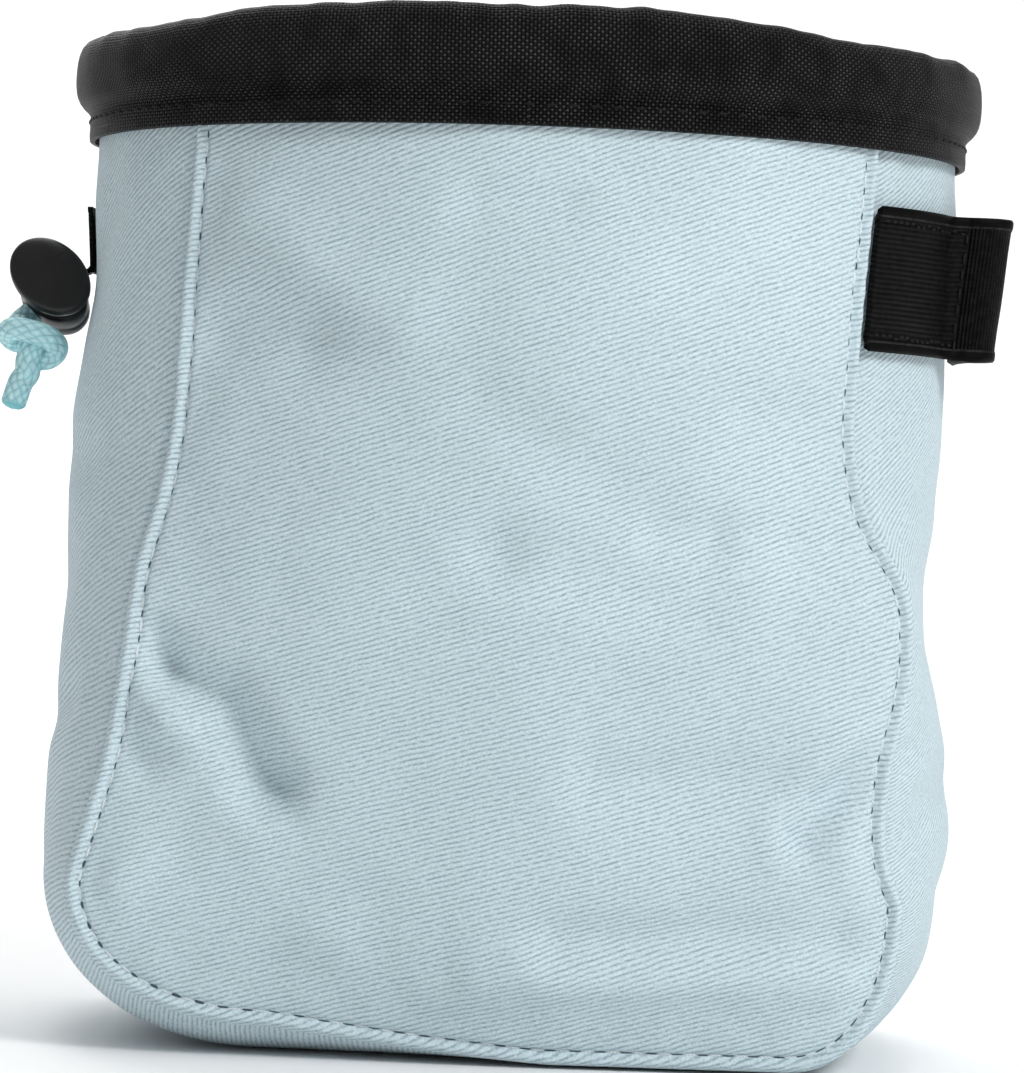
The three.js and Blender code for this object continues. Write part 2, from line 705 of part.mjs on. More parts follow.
const bag = new THREE.Group();
bag.add(piece('front_panel', panelWall(frontOuter), iceBlue, 0.9));
bag.add(piece('back_panel', backWall(), iceBlue, 0.9));
bag.add(piece('side_gusset', gussetWall(), iceBlue, 0.9));
bag.add(piece('rim_collar', rimCollar(), black, 0.85));
bag.add(piece('brush_loop', brushLoop(), black, 0.8));
bag.add(piece('belt_loop', beltLoop(), black, 0.8));
bag.add(piece('lock_tab', lockTab(), black, 0.8));

const lock = new THREE.Group();
lock.position.copy(lockCentre);
lock.quaternion.setFromRotationMatrix(new THREE.Matrix4().makeBasis(lockLong, lockShort, lockOut));
lock.add(piece('lock_barrel', lockBarrel(), moulded, 0.5));
lock.add(piece('lock_plunger', lockPlunger(), moulded, 0.5));
bag.add(lock);

bag.add(piece('draw_cord', cordTube(cordRoute, 8, 8), aqua, 0.8));
const knot = piece('cord_knot', cordKnot(), aqua, 0.8);
knot.position.copy(knotPlace);
bag.add(knot);
bag.add(piece('cord_tail', cordTube(tailRoute, 8, 4), aqua, 0.8));

export default bag;
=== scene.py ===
import math
import random

import bmesh
import bpy
from bpy.props import FloatProperty, FloatVectorProperty, PointerProperty
from mathutils import Matrix, Vector, noise
from mathutils.bvhtree import BVHTree
from mathutils.kdtree import KDTree


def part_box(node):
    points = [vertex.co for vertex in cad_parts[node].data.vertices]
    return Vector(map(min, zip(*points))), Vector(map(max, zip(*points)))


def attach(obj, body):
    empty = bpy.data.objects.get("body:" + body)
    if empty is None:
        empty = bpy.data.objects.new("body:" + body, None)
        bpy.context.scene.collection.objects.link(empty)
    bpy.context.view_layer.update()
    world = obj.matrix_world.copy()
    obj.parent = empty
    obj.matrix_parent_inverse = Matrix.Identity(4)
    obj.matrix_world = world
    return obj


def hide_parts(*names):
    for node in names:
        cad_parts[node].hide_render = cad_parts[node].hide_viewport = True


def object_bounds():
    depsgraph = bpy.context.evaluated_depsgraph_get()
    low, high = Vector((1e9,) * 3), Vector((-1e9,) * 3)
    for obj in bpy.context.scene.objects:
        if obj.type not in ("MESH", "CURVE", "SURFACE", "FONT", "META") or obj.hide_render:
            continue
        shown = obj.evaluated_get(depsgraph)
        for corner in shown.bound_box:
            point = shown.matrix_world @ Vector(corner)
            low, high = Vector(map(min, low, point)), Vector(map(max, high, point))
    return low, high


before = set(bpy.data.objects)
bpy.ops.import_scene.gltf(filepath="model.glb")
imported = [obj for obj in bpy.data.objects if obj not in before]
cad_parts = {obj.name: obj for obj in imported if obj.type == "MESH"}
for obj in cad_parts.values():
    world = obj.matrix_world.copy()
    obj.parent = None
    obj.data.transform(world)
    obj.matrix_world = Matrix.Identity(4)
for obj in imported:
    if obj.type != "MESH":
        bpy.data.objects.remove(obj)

bl_info = {
    "name": "Climbing chalk bag",
    "version": (1, 0, 0),
    "blender": (4, 5, 0),
    "location": "3D View > Sidebar > Chalk bag",
    "description": "Builds the cloth, trims, cord and lock of a climbing chalk bag",
    "category": "Object",
}

MM = 0.001
CAD_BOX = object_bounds()
UV_NAME = "thread"
# The cloth walls end this far under the top of the rim, in mm
RIM_OVER_WALL = 6
# A seam is followed in steps of this length
SEAM_STEP = 0.5 * MM

# Body of the bag, as shares: height, then front seam and outermost side, left and right
LEVELS = (
    (1.00, 0.732, 1.000, 0.791, 1.000),
    (0.91, 0.733, 0.998, 0.780, 0.998),
    (0.86, 0.737, 0.999, 0.771, 1.002),
    (0.78, 0.744, 0.988, 0.754, 0.990),
    (0.70, 0.749, 1.007, 0.741, 0.978),
    (0.63, 0.753, 1.025, 0.734, 0.968),
    (0.56, 0.775, 1.021, 0.762, 0.959),
    (0.48, 0.818, 1.016, 0.853, 0.927),
    (0.40, 0.836, 1.016, 0.861, 0.948),
    (0.30, 0.863, 1.023, 0.819, 0.986),
    (0.22, 0.905, 1.034, 0.814, 0.991),
    (0.14, 0.950, 1.010, 0.880, 0.942),
)
# Bottom corners: share of the wall's height, and reaches as shares of half the belly, left and right
CORNER_HEIGHT = 0.175
CORNER_REACH = {"seam": (0.44, 0.24), "side": (0.50, 0.40)}
CORNER_POWER = 2 / 2.2
SIDE_STEPS = 13
CORNER_STEPS = 6
BASE_STEPS = 12
PANEL_ROWS = SIDE_STEPS + CORNER_STEPS / 2
PANEL_COLUMNS = CORNER_STEPS + BASE_STEPS
U_STEPS = 2 * PANEL_ROWS + PANEL_COLUMNS


def linear(code):
    """An sRGB hex colour as linear red, green and blue."""
    parts = [int(code[i:i + 2], 16) / 255 for i in (1, 3, 5)]
    return [c / 12.92 if c <= 0.04045 else ((c + 0.055) / 1.055) ** 2.4 for c in parts]


def length(name, description, millimetres):
    return FloatProperty(
        name=name, description=description, default=millimetres * MM, min=0, unit="LENGTH", precision=5
    )


def colour(name, description, code):
    return FloatVectorProperty(
        name=name, description=description, default=linear(code), size=3, min=0, max=1, subtype="COLOR"
    )


class ChalkBagSizes(bpy.types.PropertyGroup):
    """Real lengths of the bag"""

    height: length("Height", "Floor to the top of the rim", CAD_BOX[1][2] / MM)
    belly: length("Half belly", "Half the width of the belly", 75)
    mouth_width: length("Half mouth width", "Half the width of the mouth", 70.95)
    mouth_depth: length("Half mouth depth", "Half the depth of the mouth", 56)
    base_depth: length("Half base depth", "Half the depth of the base", 39.5)
    cloth: length("Cloth wall", "Thickness of the outer cloth with its lining", 1.6)
    twill_pitch: length("Twill pitch", "Distance between two ribs of the twill", 0.78)
    weave_pitch: length("Rim weave pitch", "Distance between two threads of the rim cloth", 0.57)
    stitch_pitch: length("Stitch pitch", "Length of one seam stitch with its hole", 4)
    hem: length("Hem height", "Height of the hem under the roll", 5)
    roll: length("Roll height", "Height of the rolled rim", 13.9)
    elastic_width: length("Elastic width", "Width of the brush loop's band", 23.2)
    strap_width: length("Strap width", "Width of the belt loop's webbing", 25)
    cord: length("Cord diameter", "Diameter of the draw cord", 4.2)


class ChalkBagColours(bpy.types.PropertyGroup):
    """Colours of the cloths, the cord and the lock"""

    twill: colour("Twill", "Ribs of the ice blue twill", "#CEDFE6")
    # The twill line colour is painted shade in the grooves between the twill's ribs
    twill_groove_shade: colour("Twill line", "Fine lines between the ribs", "#97AFB8")
    thread: colour("Thread", "Seam thread", "#DCE6EA")
    hole: colour("Needle holes", "Shade in the needle holes", "#4A5D66")
    lining: colour("Lining", "Fleece on the inside", "#C4CCD0")
    # The rim thread colour shows only as painted glints on the thread tops; rim_gap is painted shade
    rim: colour("Rim threads", "Black nylon of the rim", "#434344")
    rim_gap: colour("Rim gaps", "Shade between the rim's threads", "#030303")
    elastic: colour("Elastic", "Black elastic and webbing", "#131314")
    lock: colour("Lock", "Moulded lock", "#1F1F20")
    cord: colour("Cord", "Light threads of the cord", "#C8F0F5")
    cord_shade: colour("Cord shade", "Shade between the cord's threads", "#7CC8D2")
    cord_end: colour("Cord end", "Melted end of the cord", "#7CC3CB")
    floor: colour("Floor", "Floor and backdrop", "#FAFAFA")


def lerp(a, b, t):
    return a + (b - a) * t


def ease(value, low, high):
    """0 below low, 1 above high and smooth between."""
    t = min(1, max(0, (value - low) / (high - low)))
    return t * t * (3 - 2 * t)


def bump(distance, width):
    return math.exp(-(distance / width) ** 2)


def crowded_ends(t, edge, share):
    """t from 0 to 1, with its first and last edge part spread over share of the steps."""
    if t < share:
        return edge * t / share
    if t > 1 - share:
        return 1 - edge * (1 - t) / share
    return lerp(edge, 1 - edge, (t - share) / (1 - 2 * share))


class Body:
    """The bag's outer surface, from the same sizes and shares as its solids."""

    def __init__(self, sizes):
        self.sizes = sizes
        self.wall_top = sizes.height - RIM_OVER_WALL * MM
        self.base_lift = 4.6 * MM
        self.bulge = 5 * MM
        self.seam_gap = 0.6 * MM

    def level(self, height, column):
        """A smooth curve through one column of the levels table."""
        row = 0
        while row < len(LEVELS) - 2 and height < LEVELS[row + 1][0]:
            row += 1
        above, start = LEVELS[max(row - 1, 0)], LEVELS[row]
        end, below = LEVELS[row + 1], LEVELS[min(row + 2, len(LEVELS) - 1)]
        span = end[0] - start[0]
        t = (height - start[0]) / span
        slope_start = (end[column] - above[column]) / (end[0] - above[0]) * span
        slope_end = (below[column] - start[column]) / (below[0] - start[0]) * span
        return (
            (2 * t ** 3 - 3 * t ** 2 + 1) * start[column] + (t ** 3 - 2 * t ** 2 + t) * slope_start
            + (3 * t ** 2 - 2 * t ** 3) * end[column] + (t ** 3 - t ** 2) * slope_end
        )

    def side_x(self, side, height, line):
        column = (1 if side < 0 else 3) + (0 if line == "seam" else 1)
        return side * self.level(height, column) * lerp(self.sizes.belly, self.sizes.mouth_width, height)

    def seam_rise(self, across):
        """The base seam lies just off the floor, and climbs towards the left corner."""
        return 0.4 * MM + self.base_lift * max(0, 1 - across / 0.55) ** 1.3

    def foot_x(self, side, line):
        reach = CORNER_REACH[line][0 if side < 0 else 1] * self.sizes.belly
        return self.side_x(side, CORNER_HEIGHT, line) - side * reach

    def side_place(self, side, share):
        """A place on a side, from the mouth down to the middle of the bottom corner."""
        step = share * PANEL_ROWS
        if step <= SIDE_STEPS:
            return ("height", side, lerp(1, CORNER_HEIGHT, step / SIDE_STEPS))
        return ("corner", side, (step - SIDE_STEPS) / CORNER_STEPS * math.pi / 2)

    def base_place(self, share):
        """A place along the bottom, between the middles of the two corners."""
        step = share * PANEL_COLUMNS
        half = CORNER_STEPS / 2
        if step < half:
            return ("corner", -1, math.pi / 4 * (1 + step / half))
        if step <= half + BASE_STEPS:
            return ("base", 0, (step - half) / BASE_STEPS)
        return ("corner", 1, math.pi / 4 * (2 - (step - half - BASE_STEPS) / half))

    def u_place(self, share):
        """A place on the whole U of the seam, from the left end of the mouth to the right."""
        step = share * U_STEPS
        if step <= PANEL_ROWS:
            return self.side_place(-1, step / PANEL_ROWS)
        if step <= PANEL_ROWS + PANEL_COLUMNS:
            return self.base_place((step - PANEL_ROWS) / PANEL_COLUMNS)
        return self.side_place(1, (U_STEPS - step) / PANEL_ROWS)

    def outline(self, place, line):
        kind, side, value = place
        if kind == "height":
            return self.side_x(side, value, line), value * self.wall_top
        if kind == "base":
            x = lerp(self.foot_x(-1, line), self.foot_x(1, line), value)
            return x, self.seam_rise(value) if line == "seam" else 0
        end_z = self.seam_rise(0 if side < 0 else 1) if line == "seam" else 0
        start_x = self.side_x(side, CORNER_HEIGHT, line)
        x = lerp(self.foot_x(side, line), start_x, max(0, math.cos(value)) ** CORNER_POWER)
        return x, lerp(CORNER_HEIGHT * self.wall_top, end_z, math.sin(value) ** CORNER_POWER)

    def seam_depth(self, place):
        if place[0] != "height":
            return self.sizes.base_depth
        share = LEVELS[0][1 if place[1] < 0 else 3]
        mouth = self.sizes.mouth_depth * math.sqrt(1 - share * share)
        return lerp(self.sizes.base_depth, mouth, ease(place[2], CORNER_HEIGHT, 1))

    def seam_point(self, place):
        x, z = self.outline(place, "seam")
        return Vector((x, -self.seam_depth(place) - self.seam_gap / 2, z))

    def panel_point(self, across, down):
        """A point of the front panel between its two side seams, the base seam and the mouth."""
        left = self.seam_point(self.side_place(-1, down))
        right = self.seam_point(self.side_place(1, down))
        bottom = self.seam_point(self.base_place(across))
        corners = [self.seam_point(self.side_place(side, end)) for end in (0, 1) for side in (-1, 1)]
        x = lerp(corners[0].x, corners[1].x, across)
        arc = math.sqrt(max(0, 1 - (x / self.sizes.mouth_width) ** 2))
        top = Vector((x, -self.sizes.mouth_depth * arc - self.seam_gap / 2, self.wall_top))
        point = top.lerp(bottom, down) + left.lerp(right, across)
        point -= corners[0].lerp(corners[1], across).lerp(corners[2].lerp(corners[3], across), down)
        point.y -= self.bulge * math.sin(math.pi * down) * math.sin(math.pi * across)
        return point

    def gusset_point(self, place, around):
        """A point of the side gusset: around runs from -1 at the front seam to 1 at the back seam."""
        seam_x, seam_z = self.outline(place, "seam")
        side_x, side_z = self.outline(place, "side")
        depth = self.seam_depth(place) - self.seam_gap / 2
        mouth = self.sizes.mouth_depth
        edge = math.sqrt(1 - (depth / mouth) ** 2)
        oval = (math.sqrt(1 - (around * depth / mouth) ** 2) - edge) / (1 - edge)
        flat = 1 - max(0, (abs(around) - 0.6) / 0.4) ** 2.2
        upper = ease(place[2], CORNER_HEIGHT, 0.6) if place[0] == "height" else 0
        share = lerp(flat, oval, upper)
        return Vector((lerp(seam_x, side_x, oval), around * depth, lerp(seam_z, side_z, share)))

    def gusset_out(self, place, around):
        """The direction out of the gusset at a place on a side."""
        step = 0.01
        lower = (place[0], place[1], place[2] - step)
        along = self.gusset_point(place, around + step) - self.gusset_point(place, around - step)
        down = self.gusset_point(lower, around) - self.gusset_point(place, around)
        out = along.cross(down).normalized()
        return -out if out.x * place[1] < 0 else out


def sheet_mesh(columns, rows, point_at, outward, relief=None, thread_at=None, weld=False, facing=None):
    """A grid moved to point_at(u, v), then out along its normals by relief, with its UVs in metres."""
    bm = bmesh.new()
    bmesh.ops.create_grid(bm, x_segments=columns, y_segments=rows, size=1)
    uv = bm.loops.layers.uv.new(UV_NAME)
    places = {vert: ((vert.co.x + 1) / 2, (vert.co.y + 1) / 2) for vert in bm.verts}
    for vert, (u, v) in places.items():
        vert.co = point_at(u, v)
    bm.normal_update()
    bm.faces.ensure_lookup_table()
    probe = bm.faces[len(bm.faces) // 2]
    if probe.normal.dot(outward(probe.calc_center_median())) < 0:
        bmesh.ops.reverse_faces(bm, faces=bm.faces)
        bm.normal_update()
    threads = {vert: thread_at(u, v) for vert, (u, v) in places.items()} if thread_at else places
    for face in bm.faces:
        for loop in face.loops:
            loop[uv].uv = threads[loop.vert]
    if relief:
        rise = {vert: relief(u, v, vert) for vert, (u, v) in places.items()}
        normals = {vert: vert.normal.copy() for vert in places}
        if facing:
            normals = {vert: facing(*places[vert], normal) for vert, normal in normals.items()}
        for vert in places:
            vert.co += normals[vert] * rise[vert]
    if weld:
        bmesh.ops.remove_doubles(bm, verts=bm.verts, dist=0.01 * MM)
        bmesh.ops.dissolve_degenerate(bm, edges=bm.edges, dist=0.005 * MM)
    return bm


def new_piece(name, bm, body, materials, thickness=0, inner=0, replaced=()):
    """A shown piece: smooth faces, its wall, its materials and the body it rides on."""
    for face in bm.faces:
        face.smooth = True
    mesh = bpy.data.meshes.new(name)
    bm.to_mesh(mesh)
    bm.free()
    made = bpy.data.objects.new(name, mesh)
    bpy.context.scene.collection.objects.link(made)
    for material in materials:
        mesh.materials.append(material)
    if thickness:
        wall = made.modifiers.new("wall", "SOLIDIFY")
        wall.thickness = thickness
        wall.offset = -1
        wall.material_offset = inner
        wall.use_even_offset = False
    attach(made, body)
    if replaced:
        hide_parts(*replaced)
    return made


def smooth_line(points, count, closed=False):
    """count points at even distances along a smooth curve through points."""
    points = [Vector(point) for point in points]
    total = len(points)
    dense, parts = [], 24
    spans = total if closed else total - 1
    for i in range(spans):
        if closed:
            p = [points[(i + k) % total] for k in (-1, 0, 1, 2)]
        else:
            p = [points[min(max(i + k, 0), total - 1)] for k in (-1, 0, 1, 2)]
        for k in range(parts):
            t = k / parts
            dense.append(0.5 * (
                2 * p[1] + (p[2] - p[0]) * t + (2 * p[0] - 5 * p[1] + 4 * p[2] - p[3]) * t * t
                + (3 * p[1] - p[0] - 3 * p[2] + p[3]) * t ** 3
            ))
    dense.append(points[0] if closed else points[-1])
    reach = [0]
    for before, after in zip(dense, dense[1:]):
        reach.append(reach[-1] + (after - before).length)
    made, at = [], 0
    for k in range(count):
        target = reach[-1] * k / (count if closed else count - 1)
        while at < len(reach) - 2 and reach[at + 1] < target:
            at += 1
        gap = reach[at + 1] - reach[at]
        made.append(dense[at].lerp(dense[at + 1], min(1, (target - reach[at]) / gap) if gap else 0))
    return made


def line_length(points):
    return sum((after - before).length for before, after in zip(points, points[1:]))


def surface_of(name):
    """A finder of the nearest point on a piece's outer surface."""
    mesh = bpy.data.objects[name].data
    return BVHTree.FromPolygons([v.co for v in mesh.vertices], [p.vertices for p in mesh.polygons])


def add_stitch(bm, centre, along, out, size, material=0):
    """One small rounded stitch: size is its length, width and height in mm."""
    along = (along - out * along.dot(out)).normalized()
    turn = Matrix((along, out.cross(along), out)).transposed().to_4x4()
    place = Matrix.Translation(centre) @ turn @ Matrix.Diagonal((*[s * MM / 2 for s in size], 1))
    made = bmesh.ops.create_uvsphere(bm, u_segments=8, v_segments=5, radius=1, matrix=place)
    for vert in made["verts"]:
        for face in vert.link_faces:
            face.material_index = material


def add_node(tree, kind, inputs=(), **settings):
    """One node with its settings. An input is a plain value, a node or one of its outputs."""
    made = tree.nodes.new("ShaderNode" + kind)
    for name, value in settings.items():
        setattr(made, name, value)
    for key, value in inputs.items() if isinstance(inputs, dict) else enumerate(inputs):
        source = value.outputs[0] if isinstance(value, bpy.types.Node) else value
        if isinstance(source, bpy.types.NodeSocket):
            tree.links.new(source, made.inputs[key])
        else:
            made.inputs[key].default_value = source
    return made


def new_material(name):
    """An empty material and its node tree."""
    material = bpy.data.materials.new(name)
    material.use_nodes = True
    material.node_tree.nodes.clear()
    return material, material.node_tree


def finish_material(tree, sockets, height, depth, strength=1.0):
    """Ends a material: a principled shader with its sockets, a relief of that depth, and the output."""
    relief = add_node(tree, "Bump", {"Height": height, "Distance": depth, "Strength": strength})
    shader = add_node(tree, "BsdfPrincipled", {**sockets, "Normal": relief})
    add_node(tree, "OutputMaterial", (shader,))


def thread_axes(tree):
    """The piece's own UVs, in metres along and across the cloth."""
    uv = add_node(tree, "UVMap", uv_map=UV_NAME)
    axes = add_node(tree, "SeparateXYZ", (uv,))
    return uv, axes.outputs[0], axes.outputs[1]


def mottled(tree, scale, low, high):
    """A soft cloud on Object coordinates, from low to high. Scale counts per metre."""
    where = add_node(tree, "TexCoord").outputs["Object"]
    cloud = add_node(tree, "TexNoise", {"Vector": where, "Scale": scale, "Detail": 2.0})
    return add_node(tree, "MapRange", (cloud, 0.3, 0.7, low, high))


def over_under(tree, first, second):
    """Height of a plain weave. first and second count threads each way, and each thread dives where
    the other rises."""
    sides, lengths, cells = [], [], []
    for count in (first, second):
        part = add_node(tree, "Math", (count,), operation="FRACT")
        turn = add_node(tree, "Math", (part, math.pi), operation="MULTIPLY")
        wave = add_node(tree, "Math", (turn,), operation="SINE")
        sides.append(add_node(tree, "Math", (wave, 0.6), operation="POWER"))
        lengths.append(add_node(tree, "Math", (wave, 0.5, 0.5), operation="MULTIPLY_ADD"))
        cells.append(add_node(tree, "Math", (count,), operation="FLOOR"))
    over_first = add_node(tree, "Math", (sides[0], lengths[1]), operation="MULTIPLY")
    over_second = add_node(tree, "Math", (sides[1], lengths[0]), operation="MULTIPLY")
    both = add_node(tree, "Math", tuple(cells), operation="ADD")
    odd = add_node(tree, "Math", (both, 2.0), operation="FLOORED_MODULO")
    return add_node(tree, "Mix", {"Factor": odd, 2: over_first, 3: over_second})


def twill_cloth(sizes, colours):
    """Cotton-polyester twill, piece dyed ice blue: matt, with fine slanting ribs. The eye sees light
    ribs 0.8 mm apart and thin lines of painted shade in the grooves between them."""
    material, tree = new_material("twill_cloth")
    uv, along, across = thread_axes(tree)
    # The ribs wander a little, as cloth does when it is sewn
    drift = add_node(tree, "TexNoise", {"Vector": uv, "Scale": 160.0, "Detail": 1.0})
    wander = add_node(tree, "Math", (drift, 0.8), operation="MULTIPLY")
    count = add_node(tree, "Math", (across, 1 / sizes.twill_pitch, wander), operation="MULTIPLY_ADD")
    part = add_node(tree, "Math", (count,), operation="FRACT")
    turn = add_node(tree, "Math", (part, math.pi), operation="MULTIPLY")
    rib = add_node(tree, "Math", (turn,), operation="SINE")
    # line is 1 in the grooves between the ribs, where the twill is darkened by painted shade
    line = add_node(tree, "MapRange", (rib, 0.98, 0.1, 0.0, 1.0), interpolation_type="SMOOTHSTEP")
    # The painted shade lines are broken by floats about 1.3 mm long, at other places in every rib
    row = add_node(tree, "Math", (count,), operation="FLOOR")
    start = add_node(tree, "TexWhiteNoise", {"W": row}, noise_dimensions="1D").outputs["Value"]
    floats = add_node(tree, "Math", (along, 1 / (1.3 * MM), start), operation="MULTIPLY_ADD")
    seat = add_node(tree, "CombineXYZ", (floats, count))
    patches = add_node(tree, "TexNoise", {"Vector": seat, "Scale": 1.5, "Detail": 2.0})
    dash = add_node(tree, "MapRange", (patches, 0.35, 0.6, 0.22, 1.05))
    painted_shade = add_node(tree, "Math", (line, dash), operation="MULTIPLY")
    tone = add_node(
        tree, "Mix", {"Factor": painted_shade, 6: (*colours.twill, 1), 7: (*colours.twill_groove_shade, 1)}, data_type="RGBA"
    ).outputs[2]
    # Yarn fuzz of 0.4 mm, and a soft unevenness of the dye over about 40 mm
    fuzz = add_node(tree, "TexNoise", {"Vector": uv, "Scale": 2600.0, "Detail": 1.0})
    speckle = add_node(tree, "MapRange", (fuzz, 0.3, 0.7, 0.88, 1.09))
    speckled = add_node(tree, "VectorMath", {0: tone, 3: speckle}, operation="SCALE")
    cloud = mottled(tree, 26.0, 0.955, 1.035)
    dyed = add_node(tree, "VectorMath", {0: speckled, 3: cloud}, operation="SCALE")
    fuzzy = add_node(tree, "Math", (fuzz, 0.25, rib), operation="MULTIPLY_ADD")
    sockets = {
        "Base Color": dyed, "Roughness": 0.85, "Sheen Weight": 0.12, "Sheen Roughness": 0.5,
        "Specular IOR Level": 0.25,
    }
    finish_material(tree, sockets, fuzzy, 0.12 * MM, 0.8)
    return material


def fleece_lining(colours):
    """Brushed polyester fleece: matt and a little woolly, with no weave to be seen."""
    material, tree = new_material("fleece_lining")
    where = add_node(tree, "TexCoord").outputs["Object"]
    # Tufts of about 1.5 mm
    tuft = add_node(tree, "TexNoise", {"Vector": where, "Scale": 700.0, "Detail": 4.0})
    light = add_node(tree, "MapRange", (tuft, 0.3, 0.7, 0.8, 1.1))
    tone = add_node(tree, "VectorMath", {0: tuple(colours.lining), 3: light}, operation="SCALE")
    finish_material(tree, {"Base Color": tone, "Roughness": 0.95, "Sheen Weight": 0.4}, tuft, 0.5 * MM)
    return material


def seam_thread(name, rgb, roughness):
    """Twisted polyester sewing thread: a soft gloss with a fine slant of plies."""
    material, tree = new_material(name)
    where = add_node(tree, "TexCoord").outputs["Object"]
    waves = {"Vector": where, "Scale": 1100.0, "Distortion": 1.5}
    plies = add_node(tree, "TexWave", waves, bands_direction="DIAGONAL").outputs[1]
    light = add_node(tree, "MapRange", (plies, 0.0, 1.0, 0.82, 1.08))
    tone = add_node(tree, "VectorMath", {0: tuple(rgb), 3: light}, operation="SCALE")
    sockets = {"Base Color": tone, "Roughness": roughness, "Specular IOR Level": 0.2}
    finish_material(tree, sockets, plies, 0.05 * MM, 0.6)
    return material


def rim_nylon(sizes, colours):
    """Black nylon pack cloth in a coarse plain weave: nearly black, with a painted glint on every thread
    top over painted shade between the threads."""
    material, tree = new_material("rim_nylon")
    uv, along, across = thread_axes(tree)
    # The rolled cloth is never quite straight, so its threads wander by half a pitch
    drift = add_node(tree, "TexNoise", {"Vector": uv, "Scale": 90.0, "Detail": 1.0})
    warp = add_node(tree, "Math", (along, 1 / sizes.weave_pitch, drift), operation="MULTIPLY_ADD")
    weft = add_node(tree, "Math", (across, 1 / (0.92 * sizes.weave_pitch), drift), operation="MULTIPLY_ADD")
    weave = over_under(tree, warp, weft)
    # Painted glints: threads that float over are painted bright, those that dive under hardly at all
    swings = []
    for count in (warp, weft):
        turn = add_node(tree, "Math", (count, math.pi), operation="MULTIPLY")
        swings.append(add_node(tree, "Math", (turn,), operation="SINE"))
    crossing = add_node(tree, "Math", tuple(swings), operation="MULTIPLY")
    dim = add_node(tree, "Math", (crossing, -0.25), operation="MULTIPLY")
    either = add_node(tree, "Math", (crossing, dim), operation="MAXIMUM")
    glint_dots = add_node(tree, "Math", (either, 1.4), operation="POWER")
    tone = add_node(
        tree, "Mix", {"Factor": glint_dots, 6: (*colours.rim_gap, 1), 7: (*colours.rim, 1)}, data_type="RGBA"
    ).outputs[2]
    spread = add_node(tree, "VectorMath", {0: tone, 3: mottled(tree, 220.0, 0.45, 1.5)}, operation="SCALE")
    sockets = {"Base Color": spread, "Roughness": 0.42, "Specular IOR Level": 0.1}
    finish_material(tree, sockets, weave, 0.4 * MM)
    return material


def ribbed_elastic(sizes, colours, turn_at):
    """Woven elastic: fine ribs that run across the loop, and along the part that is sewn flat, up to
    turn_at metres from its end. Its selvages are smooth. Painted shade fills the rib grooves, and a
    painted highlight runs along each selvage's inner border."""
    material, tree = new_material("ribbed_elastic")
    _, along, across = thread_axes(tree)
    half = sizes.elastic_width / 2
    # Darker and lighter copies of the elastic: painted shade for the rib grooves, and a painted highlight
    painted_shade, painted_light = ((*[c * share for c in colours.elastic], 1) for share in (0.25, 2.6))
    flat = add_node(tree, "Math", (along, turn_at), operation="LESS_THAN")
    waves = []
    for axis, pitch in ((along, 0.62), (across, 0.80), (across, 0.70)):
        turn = add_node(tree, "Math", (axis, 2 * math.pi / (pitch * MM)), operation="MULTIPLY")
        waves.append(add_node(tree, "Math", (turn,), operation="SINE"))
    loop_ribs, flat_ribs, cross = waves
    loop = add_node(tree, "Math", (cross, 0.25, loop_ribs), operation="MULTIPLY_ADD")
    ribs = add_node(tree, "Mix", {"Factor": flat, 2: loop, 3: flat_ribs})
    off_middle = add_node(tree, "Math", (across, half), operation="SUBTRACT")
    edge = add_node(tree, "Math", (off_middle,), operation="ABSOLUTE")
    inside = add_node(tree, "MapRange", (edge, half - 1.4 * MM, half - 1.8 * MM))
    shares = add_node(tree, "Math", (ribs, 0.5, 0.5), operation="MULTIPLY_ADD")
    height = add_node(tree, "Math", (shares, inside), operation="MULTIPLY")
    # Painted highlight: a thread of the selvage's inner border is painted bright, as if it caught the light
    highlight_border = add_node(tree, "Math", (edge, half - 1.6 * MM, 0.16 * MM), operation="COMPARE")
    tone = add_node(
        tree, "Mix", {"Factor": height, 6: painted_shade, 7: (*colours.elastic, 1)}, data_type="RGBA"
    ).outputs[2]
    lit = add_node(
        tree, "Mix", {"Factor": highlight_border, 6: tone, 7: painted_light}, data_type="RGBA"
    ).outputs[2]
    uneven = add_node(tree, "VectorMath", {0: lit, 3: mottled(tree, 900.0, 0.55, 1.7)}, operation="SCALE")
    sockets = {"Base Color": uneven, "Roughness": 0.55, "Specular IOR Level": 0.06}
    finish_material(tree, sockets, height, 0.2 * MM, 0.9)
    return material


def webbing(name, rgb, pitch):
    """Woven polyester webbing: a herringbone of small ribs, black and slightly glossy."""
    material, tree = new_material(name)
    _, along, across = thread_axes(tree)
    fold = add_node(tree, "Math", (across, 4 * pitch), operation="PINGPONG")
    slant = add_node(tree, "Math", (along, fold), operation="ADD")
    turn = add_node(tree, "Math", (slant, 2 * math.pi / (1.6 * pitch)), operation="MULTIPLY")
    wave = add_node(tree, "Math", (turn,), operation="SINE")
    ribs = add_node(tree, "Math", (wave, 0.5, 0.5), operation="MULTIPLY_ADD")
    # The valleys between the ribs get painted shade, a third as bright as the webbing
    tone = add_node(
        tree, "Mix", {"Factor": ribs, 6: (*[c * 0.35 for c in rgb], 1), 7: (*rgb, 1)}, data_type="RGBA"
    ).outputs[2]
    uneven = add_node(tree, "VectorMath", {0: tone, 3: mottled(tree, 700.0, 0.75, 1.3)}, operation="SCALE")
    sockets = {"Base Color": uneven, "Roughness": 0.55, "Specular IOR Level": 0.1}
    finish_material(tree, sockets, ribs, 0.14 * MM, 0.8)
    return material


